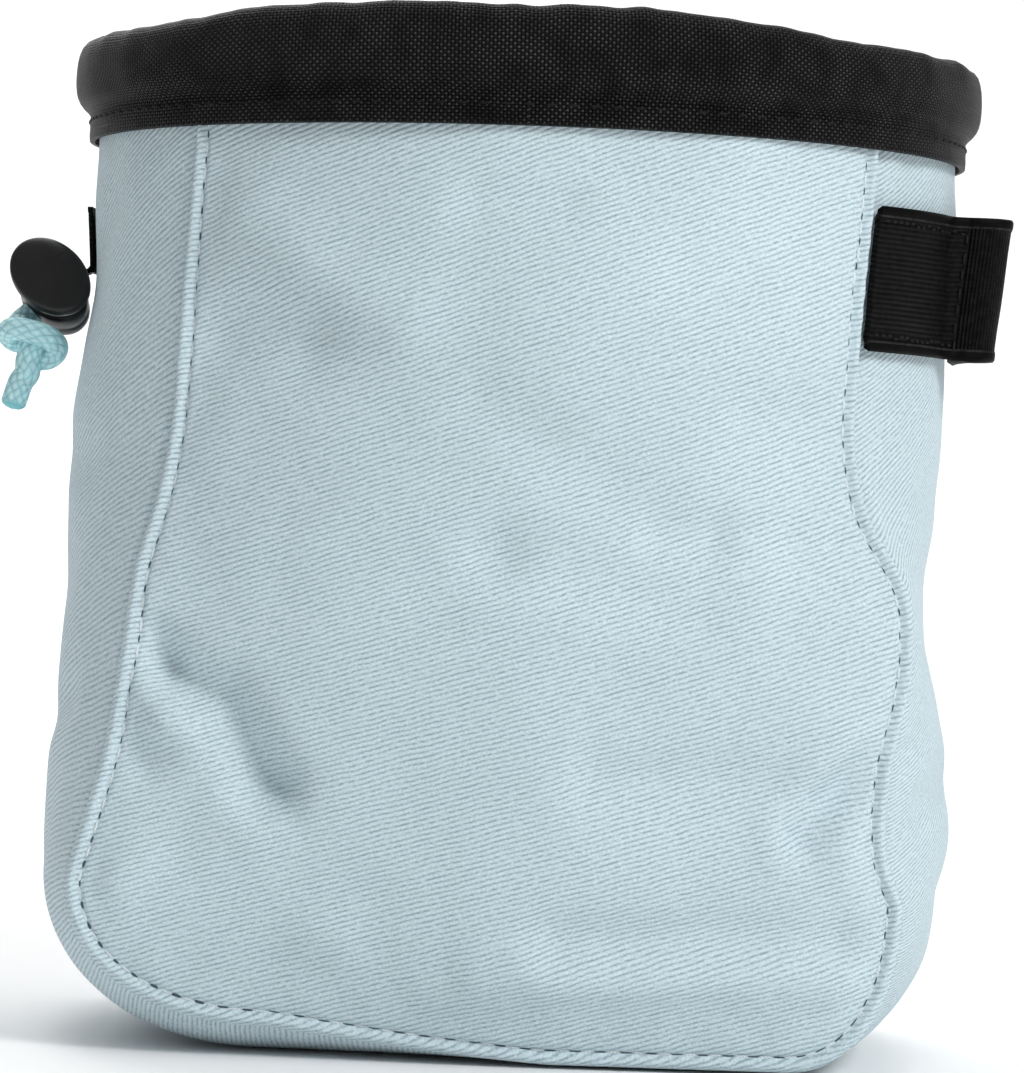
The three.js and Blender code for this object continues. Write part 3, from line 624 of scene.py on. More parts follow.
def moulded_plastic(colours):
    """Injection-moulded acetal, spark-eroded finish: dark grey, satin, with a very fine grain."""
    material, tree = new_material("moulded_acetal")
    where = add_node(tree, "TexCoord").outputs["Object"]
    # Grain of 0.25 mm, drawn that coarse so that it shows
    grain = add_node(tree, "TexNoise", {"Vector": where, "Scale": 4000.0, "Detail": 2.0})
    light = add_node(tree, "MapRange", (grain, 0.3, 0.7, 0.85, 1.15))
    tone = add_node(tree, "VectorMath", {0: tuple(colours.lock), 3: light}, operation="SCALE")
    sockets = {"Base Color": tone, "Roughness": mottled(tree, 300.0, 0.27, 0.38), "Specular IOR Level": 0.35}
    finish_material(tree, sockets, grain, 0.03 * MM, 0.6)
    return material


def braided_cord(colours, total):
    """Braided polyester cord, aqua: bright crossing strands over painted teal shade, and a melted tip."""
    material, tree = new_material("braided_cord")
    _, along, around = thread_axes(tree)
    # 16 strands, 8 each way round, that climb 2 mm for each strand they cross
    turns = add_node(tree, "Math", (around, 8.0), operation="MULTIPLY")
    left = add_node(tree, "Math", (along, 1 / (2 * MM), turns), operation="MULTIPLY_ADD")
    right = add_node(tree, "Math", (along, -1 / (2 * MM), turns), operation="MULTIPLY_ADD")
    braid = over_under(tree, left, right)
    painted_light = add_node(tree, "Math", (braid, 0.6), operation="POWER")
    # The braid's height sets how much light strand colour shows over the painted shade between strands
    tone = add_node(
        tree, "Mix", {"Factor": painted_light, 6: (*colours.cord_shade, 1), 7: (*colours.cord, 1)}, data_type="RGBA"
    ).outputs[2]
    uneven = add_node(tree, "VectorMath", {0: tone, 3: mottled(tree, 800.0, 0.88, 1.1)}, operation="SCALE")
    melted = add_node(tree, "MapRange", (along, total - 1.6 * MM, total - 0.8 * MM))
    ended = add_node(
        tree, "Mix", {"Factor": melted, 6: uneven, 7: (*colours.cord_end, 1)}, data_type="RGBA"
    ).outputs[2]
    woven = add_node(tree, "Math", (1.0, melted), operation="SUBTRACT")
    height = add_node(tree, "Math", (braid, woven), operation="MULTIPLY")
    finish_material(tree, {"Base Color": ended, "Roughness": 0.6}, height, 0.28 * MM, 0.9)
    return material


def studio_paper(colours):
    """Matt white studio paper, faintly uneven."""
    material, tree = new_material("studio_paper")
    light = mottled(tree, 3.0, 0.99, 1.01)
    tone = add_node(tree, "VectorMath", {0: tuple(colours.floor), 3: light}, operation="SCALE")
    finish_material(tree, {"Base Color": tone, "Roughness": 0.9}, light, 0.1 * MM, 0.1)
    return material


def shared_material(key, make):
    """A material that several pieces wear, made once."""
    return bpy.data.materials.get(key) or make()


def bag_cloths(sizes, colours):
    """The outer twill, and the fleece inside it."""
    return [
        shared_material("twill_cloth", lambda: twill_cloth(sizes, colours)),
        shared_material("fleece_lining", lambda: fleece_lining(colours)),
    ]


def black_thread(colours):
    return shared_material("black_thread", lambda: seam_thread("black_thread", colours.elastic, 0.6))


# Folds. Of the panels: points in mm across and up from FOLD_DATUM, depth in mm (a ridge is
# negative), width in mm, and the height of the lip beside it. Depths and lips of the panels grow by
# FOLD_STRENGTH.
FOLD_DATUM = 2.2
FOLD_STRENGTH = 2.0
FRONT_FOLDS = (
    (((-63, 67.6), (-53.4, 57.1), (-45.6, 54.3), (-37.8, 41.4)), 2.2, 4.5, 0.9),
    (((-59.1, 64.7), (-55, 60)), 1.0, 3.5, 0.3),
    (((-57.2, 55.4), (-52, 51)), -0.9, 4.5, 0),
    (((-60.1, 50.7), (-58, 45)), 0.9, 4.0, 0),
    (((-46, 43.4), (-36.5, 39.1)), 0.8, 5, 0),
    (((-49.8, 111.1), (-34.3, 111.6)), 1.2, 6, 0),
    (((-49.9, 69.6), (-26, 75), (-3, 78.2)), 0.7, 5, 0.2),
    (((-3, 78.2), (29, 70.7)), 0.5, 5, 0.2),
    (((22.5, 81.3), (30.2, 81.6)), 0.7, 4, 0),
    (((33.3, 82.5), (42.5, 82.8)), 0.8, 4, 0),
    (((-6.1, 102), (28.6, 81.5)), 0.5, 5, 0),
    (((37.3, 101.2), (48.1, 101.5)), 0.8, 4.5, 0),
    (((25.8, 122.2), (33.5, 122.4)), 0.7, 5, 0),
    (((-7.1, 131.9), (5.3, 132.3)), 0.6, 4, 0),
    (((-42.7, 130.3), (-29.9, 118.3), (-18.9, 114)), -0.9, 6, 0),
    (((11.9, 118.1), (39.8, 112)), -0.8, 13, 0),
    (((14.4, 42.8), (42.3, 43.7)), 0.9, 5, 0),
    (((57.7, 46.9), (50.1, 40.4), (47.2, 35.7)), 1.6, 4, 0.5),
    (((55, 32.8), (61.2, 33.1)), -0.9, 5, 0),
    (((9.1, 18.2), (52, 19.9)), 0.9, 4.5, 0.3),
    (((-3.1, 11.8), (55, 12.8)), -0.6, 4, 0),
    (((-60.9, 25.9), (-58, 28)), -0.6, 5, 0),
    (((-44.8, 31.1), (-41, 32)), -0.5, 5, 0),
    (((-28.9, 17.7), (-26, 17)), -0.5, 5, 0),
)

BACK_FOLDS = (
    (((-50, 62), (-30, 54), (-16, 55)), 1.4, 5, 0.4),
    (((55, 70), (40, 62), (30, 50)), 1.6, 5, 0.5),
    (((-58, 98), (-40, 92)), 1.0, 5, 0),
    (((52, 108), (34, 104)), 1.0, 5, 0),
    (((20, 40), (44, 34)), 1.0, 5, 0.2),
    (((-44, 32), (-20, 26)), 0.9, 5, 0.2),
    (((-8, 60), (12, 57)), 0.7, 6, 0),
)

# Folds of the gusset: points as a share of the whole U and of the way round, then as above
LEFT_GUSSET_FOLDS = (
    (((0.055, -0.5), (0.085, -0.2)), 0.9, 5, 0),
    (((0.148, -0.55), (0.142, 0.1)), 1.1, 4.5, 0.3),
    (((0.19, -0.4), (0.2, 0.2)), 0.8, 5, 0),
    (((0.235, -0.6), (0.245, -0.1), (0.24, 0.4)), 1.3, 4, 0.5),
    (((0.28, -0.5), (0.275, 0.3)), 0.8, 5, 0),
    (((0.33, -0.4), (0.335, 0.5)), 0.8, 5, 0),
)
RIGHT_GUSSET_FOLDS = (
    (((0.69, -0.3), (0.7, 0.5)), 0.9, 5, 0),
    (((0.735, -0.7), (0.74, -0.1), (0.735, 0.5)), 1.6, 4.5, 0.5),
    (((0.79, -0.5), (0.8, 0.3)), 0.9, 5, 0.2),
    (((0.85, -0.5), (0.845, 0.6)), 1.0, 5, 0.2),
    (((0.905, -0.1), (0.9, 0.6)), 0.8, 5, 0),
)
BASE_GUSSET_FOLDS = (
    (((0.43, -0.7), (0.45, -0.3)), 0.4, 4, 0),
    (((0.56, -0.6), (0.55, -0.2)), 0.4, 4, 0),
)


def fold_relief(at, folds):
    """How far the folds move the cloth out at a place, in mm. A place and the folds share one plane."""
    rise = 0
    for points, depth, width, lip in folds:
        nearest, signed = None, 0
        for start, end in zip(points, points[1:]):
            run_x, run_y = end[0] - start[0], end[1] - start[1]
            off_x, off_y = at[0] - start[0], at[1] - start[1]
            share = min(1, max(0, (off_x * run_x + off_y * run_y) / (run_x ** 2 + run_y ** 2)))
            gap = math.hypot(off_x - share * run_x, off_y - share * run_y)
            if nearest is None or gap < nearest:
                nearest = gap
                signed = math.copysign(gap, run_x * off_y - run_y * off_x)
        if nearest < 3 * width + 6:
            rise -= depth * bump(nearest, width)
            rise += lip * bump(signed + 1.5 * width, 0.8 * width) * bump(nearest, 3 * width)
    return rise


def soft_noise(point, size, seed):
    """Smooth noise from -1 to 1 that changes over about size metres."""
    return noise.noise(point / size + Vector((seed, 2.3 * seed, -seed)))


def seam_finder(body):
    """The front seam as points SEAM_STEP apart, and a finder of the nearest one."""
    rough = [body.seam_point(body.u_place(k / 600)) for k in range(601)]
    line = smooth_line(rough, int(line_length(rough) / SEAM_STEP))
    tree = KDTree(len(line))
    for k, point in enumerate(line):
        tree.insert(point, k)
    tree.balance()
    return line, tree


def seam_distance(line, tree, point):
    """How far a point lies from the seam, and how far along the seam that is."""
    _, index, _ = tree.find(point)
    low, high = max(index - 1, 0), min(index + 1, len(line) - 1)
    tangent = (line[high] - line[low]).normalized()
    offset = point - line[index]
    along = max(-SEAM_STEP / 2, min(SEAM_STEP / 2, offset.dot(tangent)))
    return (offset - tangent * along).length, index * SEAM_STEP + along


def seam_relief(distance, along, stitch_pitch):
    """The rolled edge beside a seam: a puffed strip, then the groove that the stitches lie in."""
    mm = distance / MM
    pinch = 0.5 + 0.5 * math.cos(2 * math.pi * along / stitch_pitch)
    strip = (0.85 - 0.2 * pinch) * bump(mm - 1.2, 0.85)
    groove = (0.5 + 0.14 * pinch) * bump(mm - 2.5, 0.45)
    return strip - groove - 0.25 * bump(mm, 0.35)


def seam_pucker(point, distance):
    """Small ripples that run in from the stitches and die away."""
    fade = ease(distance, 2.6 * MM, 4 * MM) * math.exp(-distance / (9 * MM))
    return 0.75 * fade * soft_noise(point, 5.5 * MM, 7.1)


def panel_sheet(sizes, body, folds, seed, mirrored):
    """The front panel's surface, or the back panel's, with its folds and sewn edge."""
    line, tree = seam_finder(body)
    flip = Vector((1, -1, 1)) if mirrored else Vector((1, 1, 1))
    columns, rows = 168, 172
    # The outermost columns and the lowest rows crowd at the seams
    side_edge, side_share = 0.036, 0.075
    low_edge, low_share = 0.034, 0.08

    def place(u, v):
        across, down = crowded_ends(u, side_edge, side_share), 1 - v
        if down < 1 - low_share:
            return across, lerp(0, 1 - low_edge, down / (1 - low_share))
        return across, 1 - low_edge * (1 - down) / low_share

    def point_at(u, v):
        return body.panel_point(*place(u, v)) * flip

    def relief(u, v, vert):
        point = vert.co * flip
        across, down = place(u, v)
        distance, run = seam_distance(line, tree, point)
        at_top = 1 - ease(down, 0.0, 0.09)
        loose = ease(distance, 1 * MM, 9 * MM) * (1 - 0.75 * at_top)
        soft = 0.9 * soft_noise(point, 26 * MM, seed) + 0.22 * soft_noise(point, 9 * MM, seed + 4)
        folded = FOLD_STRENGTH * fold_relief((vert.co.x / MM, vert.co.z / MM - FOLD_DATUM), folds)
        rise = (folded + soft) * loose
        edge = seam_relief(distance, run, sizes.stitch_pitch)
        return (rise + edge + seam_pucker(point, distance)) * MM

    def thread_at(u, v):
        """Lengths along and across the twill ribs, which climb about 20 degrees to the right."""
        point = body.panel_point(*place(u, v))
        side = -1 if mirrored else 1
        turn = math.radians(lerp(16.5, 21.5, ease(point.z, 20 * MM, 150 * MM)))
        wrap = (abs(point.x) / (70 * MM)) ** 4 * 2.5 * MM
        x = side * (point.x + math.copysign(wrap, point.x))
        y = point.z
        return (x * math.cos(turn) + y * math.sin(turn), y * math.cos(turn) - x * math.sin(turn))

    forwards = Vector((0, 1 if mirrored else -1, 0))

    def facing(u, v, normal):
        """The normal, turned forwards where the grid's lower corners squeeze its cells."""
        squeezed = (1 - ease(min(u, 1 - u), 0.02, 0.12)) * (1 - ease(v, 0.02, 0.12))
        return normal.lerp(forwards, squeezed).normalized()

    return sheet_mesh(columns, rows, point_at, lambda c: forwards, relief, thread_at, facing=facing)


def stitch_line(sizes, body, inset):
    """Places of needle holes and stitches by turns, inset from the seam: centre and direction."""
    line, _ = seam_finder(body)
    every = sizes.stitch_pitch / SEAM_STEP
    heart = Vector((0, 0, 0.5 * body.wall_top))
    found = []
    k = 0.5 * every
    while k < len(line) - 2:
        at = int(k)
        along = (line[at + 1] - line[at]).normalized()
        inward = (heart - line[at]) * Vector((1, 0, 1))
        inward -= along * inward.dot(along)
        found.append((line[at] + inward.normalized() * inset, along))
        k += every / 2
    return found


class CHALKBAG_OT_stage(bpy.types.Operator):
    """Sets up the camera, the paper backdrop and the soft lights"""

    bl_idname = "chalkbag.stage"
    bl_label = "Stage"

    # The paper in metres: all its length, half its width, its near edge, how far it lies flat, and
    # the curve that it climbs on behind that
    PAPER_LENGTH = 4.2
    PAPER_HALF = 3
    PAPER_NEAR = -1.4
    PAPER_FLAT = 2.2
    PAPER_CURVE = 0.7
    # It lies a hair under the floor, so that it never cuts the bag
    PAPER_GAP = 0.15 * MM

    def execute(self, context):
        scene = context.scene
        colours = scene.chalk_bag_colours
        camera_data = bpy.data.cameras.new("camera")
        camera = bpy.data.objects.new("camera", camera_data)
        scene.collection.objects.link(camera)
        # The picture is 178.8 mm high at the bag's middle, 700 mm away, and leans by 1.9 degrees
        distance, picture, lean = 700 * MM, 178.83 * MM, math.radians(1.9)
        camera_data.sensor_width = 36
        camera_data.lens = camera_data.sensor_width * distance / picture
        camera_data.clip_start = 0.01
        camera.matrix_world = (
            Matrix.Translation((-0.45 * MM, -distance, 83.3 * MM))
            @ Matrix.Rotation(math.pi / 2, 4, "X") @ Matrix.Rotation(lean, 4, "Z")
        )
        scene.camera = camera
        self.backdrop(colours)
        self.lights(scene)
        scene.view_settings.view_transform = "Standard"
        return {"FINISHED"}

    def backdrop(self, colours):
        """A sheet of paper that runs back from the front and curves up behind the bag."""
        bm = bmesh.new()
        bmesh.ops.create_grid(bm, x_segments=8, y_segments=60, size=1)
        for vert in bm.verts:
            run = (vert.co.y + 1) / 2 * self.PAPER_LENGTH
            flat, radius = self.PAPER_FLAT, self.PAPER_CURVE
            turn = min(max(0, run - flat) / radius, math.pi / 2)
            rest = max(0, run - flat - radius * math.pi / 2)
            y = self.PAPER_NEAR + min(run, flat) + radius * math.sin(turn)
            z = radius * (1 - math.cos(turn)) + rest - self.PAPER_GAP
            vert.co = Vector((vert.co.x * self.PAPER_HALF, y, z))
        for face in bm.faces:
            face.smooth = True
        mesh = bpy.data.meshes.new("paper_backdrop")
        bm.to_mesh(mesh)
        bm.free()
        mesh.materials.append(studio_paper(colours))
        paper = bpy.data.objects.new("paper_backdrop", mesh)
        bpy.context.scene.collection.objects.link(paper)

    def lights(self, scene):
        """Soft boxes: the key at the upper right, a faint fill at the left front, one above, one
        behind, and one for the paper."""
        for name, place, target, size, power in (
            ("key_light", (0.85, -0.95, 0.95), (0, 0, 0.08), 0.6, 14),
            ("fill_light", (-0.9, -0.9, 0.45), (0, 0, 0.08), 1.0, 0.2),
            ("top_light", (0.05, 0.05, 1.3), (0, 0, 0.08), 1.0, 5),
            ("back_light", (-0.5, 1.0, 0.9), (0, 0, 0.08), 0.9, 4),
            ("backdrop_light", (0, 0.5, 1.3), (0, 1.5, 0.25), 1.2, 8),
        ):
            data = bpy.data.lights.new(name, "AREA")
            data.shape = "DISK"
            data.size = size
            data.energy = power
            light = bpy.data.objects.new(name, data)
            scene.collection.objects.link(light)
            aim = Vector(target) - Vector(place)
            light.matrix_world = Matrix.Translation(place) @ aim.to_track_quat("-Z", "Y").to_matrix().to_4x4()
        world = scene.world or bpy.data.worlds.new("studio_air")
        scene.world = world
        world.use_nodes = True
        world.node_tree.nodes.clear()
        air = add_node(world.node_tree, "Background", {"Color": (1.0, 1.0, 1.0, 1.0), "Strength": 0.28})
        add_node(world.node_tree, "OutputWorld", {0: air.outputs[0]})


class CHALKBAG_OT_draw_cord(bpy.types.Operator):
    """Makes the braided draw cord with its knot and its melted end"""

    bl_idname = "chalkbag.draw_cord"
    bl_label = "Draw cord"

    # Out of the tab and straight through the lock, in mm in the bag's frame
    LOCK_RUN = ((-73.95, 3.80, 124.76), (-75.39, 3.28, 123.48), (-78.27, 2.24, 120.92), (-80.6, 1.4, 118.85))
    # The overhand knot in mm, right, up and forward from its middle: the cord drops into the middle
    # of the knot, turns up round its right side, wraps across the front and round the back, and
    # drops through the middle again
    KNOT_MIDDLE = (-80.6, -5.2, 113.4)
    KNOT_TILT = 5
    KNOT_RUN = (
        (-3.2, 2.6, -4.9), (-2.4, 1.7, -2.9), (-1.3, 0.6, -1.4), (-0.8, -1.3, -1.2), (0.2, -2.7, -0.9),
        (2.1, -3.1, -0.2), (3.7, -2.1, 0.6), (4.0, -0.7, 1.6), (2.4, 0.5, 3.0), (-0.2, 1.0, 3.3),
        (-2.8, 1.2, 2.6), (-4.3, 0.6, 0.3), (-3.5, -0.5, -2.3), (-0.8, -0.7, -3.6), (2.0, -0.6, -3.1),
        (2.8, 0.3, -1.5), (1.8, 0.6, 0.1), (0.9, 0.0, 0.9), (0.2, -1.5, 1.2), (-0.3, -3.6, 1.5),
        (-0.2, -5.8, 1.5),
    )
    TAIL_RUN = ((-82.3, -6.5, 106.2), (-83.1, -6.6, 103.8), (-83.7, -6.7, 101.6))

    def execute(self, context):
        scene = context.scene
        sizes, colours = scene.chalk_bag_sizes, scene.chalk_bag_colours
        tilt = math.radians(self.KNOT_TILT)
        right = Vector((math.cos(tilt), 0, -math.sin(tilt)))
        up = Vector((math.sin(tilt), 0, math.cos(tilt)))
        middle = Vector(self.KNOT_MIDDLE)
        knot = [middle + right * a + up * b + Vector((0, -c, 0)) for a, b, c in self.KNOT_RUN]
        route = [Vector(p) for p in self.LOCK_RUN] + knot + [Vector(p) for p in self.TAIL_RUN]
        rings, sides = 300, 22
        path = [point * MM for point in smooth_line(route, rings + 1)]
        total = line_length(path)
        step = total / rings
        frames = []
        side = Vector((0, 1, 0))
        for k, point in enumerate(path):
            tangent = (path[min(k + 1, rings)] - path[max(k - 1, 0)]).normalized()
            side = (side - tangent * side.dot(tangent)).normalized()
            frames.append((point, side.copy(), tangent.cross(side)))

        def radius(share):
            """Rounded at both ends, and a little squeezed where the knot is tight."""
            at = share * total
            tight = ease(at, 9 * MM, 14 * MM) * (1 - ease(at, total - 15 * MM, total - 10 * MM))
            full = sizes.cord / 2 * (1 - 0.08 * tight)
            near_end = min(at, total - at) / (1.3 * MM)
            return full * math.sqrt(max(0, 1 - (1 - min(1, near_end)) ** 2))

        def point_at(u, v):
            point, across, over = frames[round(v * rings)]
            turn = 2 * math.pi * u
            return point + (across * math.cos(turn) + over * math.sin(turn)) * radius(v)

        def outward(centre):
            return centre - min(path, key=lambda p: (p - centre).length)

        def thread_at(u, v):
            return (v * total, u)

        bm = sheet_mesh(sides, rings, point_at, outward, thread_at=thread_at, weld=True)
        cord = new_piece(
            "knotted_cord", bm, "bag", [braided_cord(colours, total)],
            replaced=("draw_cord", "cord_knot", "cord_tail"),
        )
        return {"FINISHED"}


class CHALKBAG_OT_panels(bpy.types.Operator):
    """Makes the front and back panels of twill with their folds"""

    bl_idname = "chalkbag.panels"
    bl_label = "Front and back panels"

    def execute(self, context):
        sizes, colours = context.scene.chalk_bag_sizes, context.scene.chalk_bag_colours
        body = Body(sizes)
        for name, node, folds, seed, mirrored in (
            ("front_cloth", "front_panel", FRONT_FOLDS, 3.1, False),
            ("back_cloth", "back_panel", BACK_FOLDS, 9.4, True),
        ):
            cloths = bag_cloths(sizes, colours)
            bm = panel_sheet(sizes, body, folds, seed, mirrored)
            new_piece(name, bm, "bag", cloths, sizes.cloth, inner=1, replaced=(node,))
        return {"FINISHED"}


class CHALKBAG_OT_gusset(bpy.types.Operator):
    """Makes the gusset that runs down one side, under the base and up the other side"""

    bl_idname = "chalkbag.gusset"
    bl_label = "Gusset"

    COLUMNS = 400
    ROWS = 84
    # Half the strip's width in mm, for the twill and for the folds' places
    HALF_STRIP = 40

    def execute(self, context):
        sizes, colours = context.scene.chalk_bag_sizes, context.scene.chalk_bag_colours
        body = Body(sizes)
        folds = LEFT_GUSSET_FOLDS + RIGHT_GUSSET_FOLDS + BASE_GUSSET_FOLDS
        columns = self.COLUMNS
        mid_line = [body.gusset_point(body.u_place(k / columns), 0) for k in range(columns + 1)]
        reach = [0]
        for before, after in zip(mid_line, mid_line[1:]):
            reach.append(reach[-1] + (after - before).length)
        strip, half = reach[-1], self.HALF_STRIP * MM

        def around_at(v):
            return 2 * crowded_ends(v, 0.03, 0.08) - 1

        def along_at(u):
            at = u * columns
            low = min(int(at), columns - 1)
            return lerp(reach[low], reach[low + 1], at - low)

        def point_at(u, v):
            return body.gusset_point(body.u_place(u), around_at(v))

        def relief(u, v, vert):
            around = around_at(v)
            place = body.u_place(u)
            depth = body.seam_depth(place)
            from_seam = (1 - abs(around)) * depth * 1.1
            # 1 on the sides and 0 on the base, which stays flat on the floor
            if place[0] == "corner":
                off_base = 1 - ease(abs(math.cos(place[2])), 1, 0.5)
            else:
                off_base = 1 if place[0] == "height" else 0
            at_top = ease(place[2], 0.93, 1.0) if place[0] == "height" else 0
            calm = lerp(0.4, 1, ease(abs(around), 0.1, 0.5))
            loose = ease(from_seam, 0.5 * MM, 8 * MM) * (1 - 0.75 * at_top) * max(0.08, off_base) * calm
            at = (along_at(u) / MM, around * half / MM)
            scaled = [
                (tuple((share * strip / MM, turn * half / MM) for share, turn in points), *rest)
                for points, *rest in folds if abs(points[0][0] - u) < 0.12
            ]
            soft = 0.5 * soft_noise(vert.co, 24 * MM, 5.7) + 0.15 * soft_noise(vert.co, 8 * MM, 1.9)
            edge = -0.45 * bump(from_seam / MM, 0.8) * (1 if off_base > 0.5 else 0.3)
            ripple = 0.5 * ease(from_seam, 0.3 * MM, 2 * MM) * math.exp(-from_seam / (7 * MM))
            pucker = ripple * soft_noise(vert.co, 5 * MM, 3.3)
            rise = (fold_relief(at, scaled) + soft) * loose + edge + pucker * max(0.2, off_base)
            return rise * MM

        def thread_at(u, v):
            """The ribs slant across the strip, steeply at the mouth and hardly at the base."""
            across = around_at(v) * half
            along = along_at(u)
            low = ease(u, 0.0, 0.3) * (1 - ease(u, 0.66, 0.8))
            slant = math.radians(lerp(33, 8, low))
            return (across / math.cos(slant), along * 0.9 - across * math.tan(slant))

        heart = Vector((0, 0, 0.5 * body.wall_top))
        bm = sheet_mesh(columns, self.ROWS, point_at, lambda c: c - heart, relief, thread_at)
        new_piece(
            "gusset_cloth", bm, "bag", bag_cloths(sizes, colours), sizes.cloth, inner=1,
            replaced=("side_gusset",),
        )
        return {"FINISHED"}


class CHALKBAG_OT_seam_stitches(bpy.types.Operator):
    """Sews the topstitching along the seams of both panels"""

    bl_idname = "chalkbag.seam_stitches"
    bl_label = "Seam stitches"

    # In mm: how far inside the seam the stitches lie, and one stitch's length, width and height
    INSET = 2.5
    STITCH = (2.3, 0.52, 0.36)

    def execute(self, context):
        sizes, colours = context.scene.chalk_bag_sizes, context.scene.chalk_bag_colours
        body = Body(sizes)
        dice = random.Random(11)
        thread = shared_material("seam_thread", lambda: seam_thread("seam_thread", colours.thread, 0.5))
        # The needle holes are dark dashes of painted shade
        shade = shared_material("needle_hole_shade", lambda: seam_thread("needle_hole_shade", colours.hole, 0.9))
        for cloth, name, side in (
            ("front_cloth", "front_stitches", 1), ("back_cloth", "back_stitches", -1),
        ):
            surface = surface_of(cloth)
            flip = Vector((1, side, 1))
            bm = bmesh.new()
            for k, (point, along) in enumerate(stitch_line(sizes, body, self.INSET * MM)):
                centre, normal, _, _ = surface.find_nearest(point * flip)
                if k % 2:
                    lift = dice.uniform(0.02, 0.1) * MM
                    add_stitch(bm, centre + normal * lift, along * flip, normal, self.STITCH)
                    continue
                # Dark dashes of painted shade at the needle holes: long along the base, wide round the low
                # left corner, thin elsewhere
                on_base = 1 - ease(centre.z, 6 * MM, 14 * MM)
                low_left = ease(-centre.x, 30 * MM, 50 * MM) * (1 - ease(centre.z, 16 * MM, 44 * MM))
                size = (lerp(1.3, 2, on_base), lerp(0.3, 0.62, low_left), lerp(0.2, 0.34, low_left))
                add_stitch(bm, centre + normal * 0.03 * MM, along * flip, normal, size, 1)
            new_piece(name, bm, "bag", [thread, shade])
        return {"FINISHED"}


class CHALKBAG_OT_rim(bpy.types.Operator):
    """Makes the rolled rim with its hem, puckers and stitches"""

    bl_idname = "chalkbag.rim"
    bl_label = "Rim"

    def section(self, sizes):
        """The rim's section in mm: out from the wall's outer face, and up from the hem's lower edge."""
        top = (sizes.roll + sizes.hem) / MM
        hem = sizes.hem / MM
        return (
            (0.9, 0.15), (1.35, 0.0), (1.78, 0.35), (1.85, 1.4), (1.8, 2.6), (1.85, hem - 0.9),
            (1.7, hem - 0.25), (2.3, hem + 0.35), (3.3, hem + 1.5), (3.95, hem + 3.2), (4.25, hem + 5.6),
            (4.3, hem + 8.2), (4.1, top - 3.2), (3.5, top - 1.3), (2.3, top - 0.35), (0.9, top - 0.05),
            (-0.6, top), (-2.2, top - 0.1), (-3.6, top - 0.5), (-4.6, top - 1.5), (-5.05, top - 3),
            (-5.1, hem + 7), (-4.9, hem + 3.4), (-4.2, hem + 1), (-3.7, hem - 0.5), (-3.7, 1.2),
            (-3.3, 0.05), (-2.8, 0.4), (-2.7, 4), (-2.7, 12.4), (-1.0, 13.4), (0.6, 12.4), (0.75, 4),
            (0.75, 0.8),
        )

    def mouth_point(self, sizes, turn):
        """A point of the mouth's oval, turned from the front."""
        return Vector((sizes.mouth_width * math.sin(turn), -sizes.mouth_depth * math.cos(turn), 0))

    def mouth_out(self, sizes, point):
        """The way out of the mouth's oval at a point of it."""
        wide, deep = sizes.mouth_width, sizes.mouth_depth
        return Vector((point.x / wide ** 2, point.y / deep ** 2, 0)).normalized()

    def execute(self, context):
        sizes, colours = context.scene.chalk_bag_sizes, context.scene.chalk_bag_colours
        bottom = sizes.height - sizes.roll - sizes.hem
        section = self.section(sizes)
        rows = 72
        profile = smooth_line([(out, up, 0) for out, up in section], rows, closed=True)
        run = [0]
        for k in range(rows):
            run.append(run[-1] + (profile[(k + 1) % rows] - profile[k]).length * MM)
        columns = 420
        ring = [self.mouth_point(sizes, 2 * math.pi * k / columns) for k in range(columns + 1)]
        reach = [0]
        for before, after in zip(ring, ring[1:]):
            reach.append(reach[-1] + (after - before).length)

        def point_at(u, v):
            point = ring[round(u * columns)]
            out = self.mouth_out(sizes, point)
            place = profile[round(v * rows) % rows]
            high = ease(place.y, 8, 18.5)
            # Gathers of the rolled cloth: bumps 6 to 10 mm apart, highest along the top edge
            gather = 0.62 * soft_noise(point, 7.5 * MM, 2.2) + 0.25 * soft_noise(point, 3.6 * MM, 8.8)
            lean = Vector((0, 0, place.y * MM)) + point
            swell = 0.35 * soft_noise(lean, 11 * MM, 4.4) * ease(place.y, 5.5, 9)
            swell *= 1 if place.x > 0 else 0.4
            # The rim sinks a little towards both sides
            droop = 2.4 * ease(abs(point.x + 5 * MM), 22 * MM, 62 * MM) * ease(place.y, 3, 18.5)
            up = place.y * MM + bottom + (gather * high * 0.75 - droop) * MM
            reach_out = (place.x + swell + gather * 0.35 * high * (1 if place.x > 0 else -1)) * MM
            return point + out * reach_out + Vector((0, 0, up))

        def thread_at(u, v):
            return (reach[round(u * columns)], run[round(v * rows)])

        bm = sheet_mesh(
            columns, rows, point_at, lambda c: self.mouth_out(sizes, c), thread_at=thread_at, weld=True
        )
        bmesh.ops.recalc_face_normals(bm, faces=bm.faces)
        nylon = shared_material("rim_nylon", lambda: rim_nylon(sizes, colours))
        new_piece("rim_roll", bm, "bag", [nylon], replaced=("rim_collar",))
        self.sew_hem(sizes, colours, reach[-1], bottom)
        return {"FINISHED"}

    def sew_hem(self, sizes, colours, around, bottom):
        """A row of black stitches round the hem, 3 mm apart and 3.4 mm above its edge."""
        surface = surface_of("rim_roll")
        bm = bmesh.new()
        count = int(around / (3 * MM))
        for k in range(count):
            point = self.mouth_point(sizes, 2 * math.pi * k / count)
            out = self.mouth_out(sizes, point)
            start = point + out * 8 * MM + Vector((0, 0, bottom + 3.4 * MM))
            centre, normal, _, _ = surface.ray_cast(start, -out)
            along = Vector((0, 0, 1)).cross(out)
            add_stitch(bm, centre + normal * 0.02 * MM, along, normal, (2.1, 0.42, 0.4))
        new_piece("rim_stitches", bm, "bag", [black_thread(colours)])


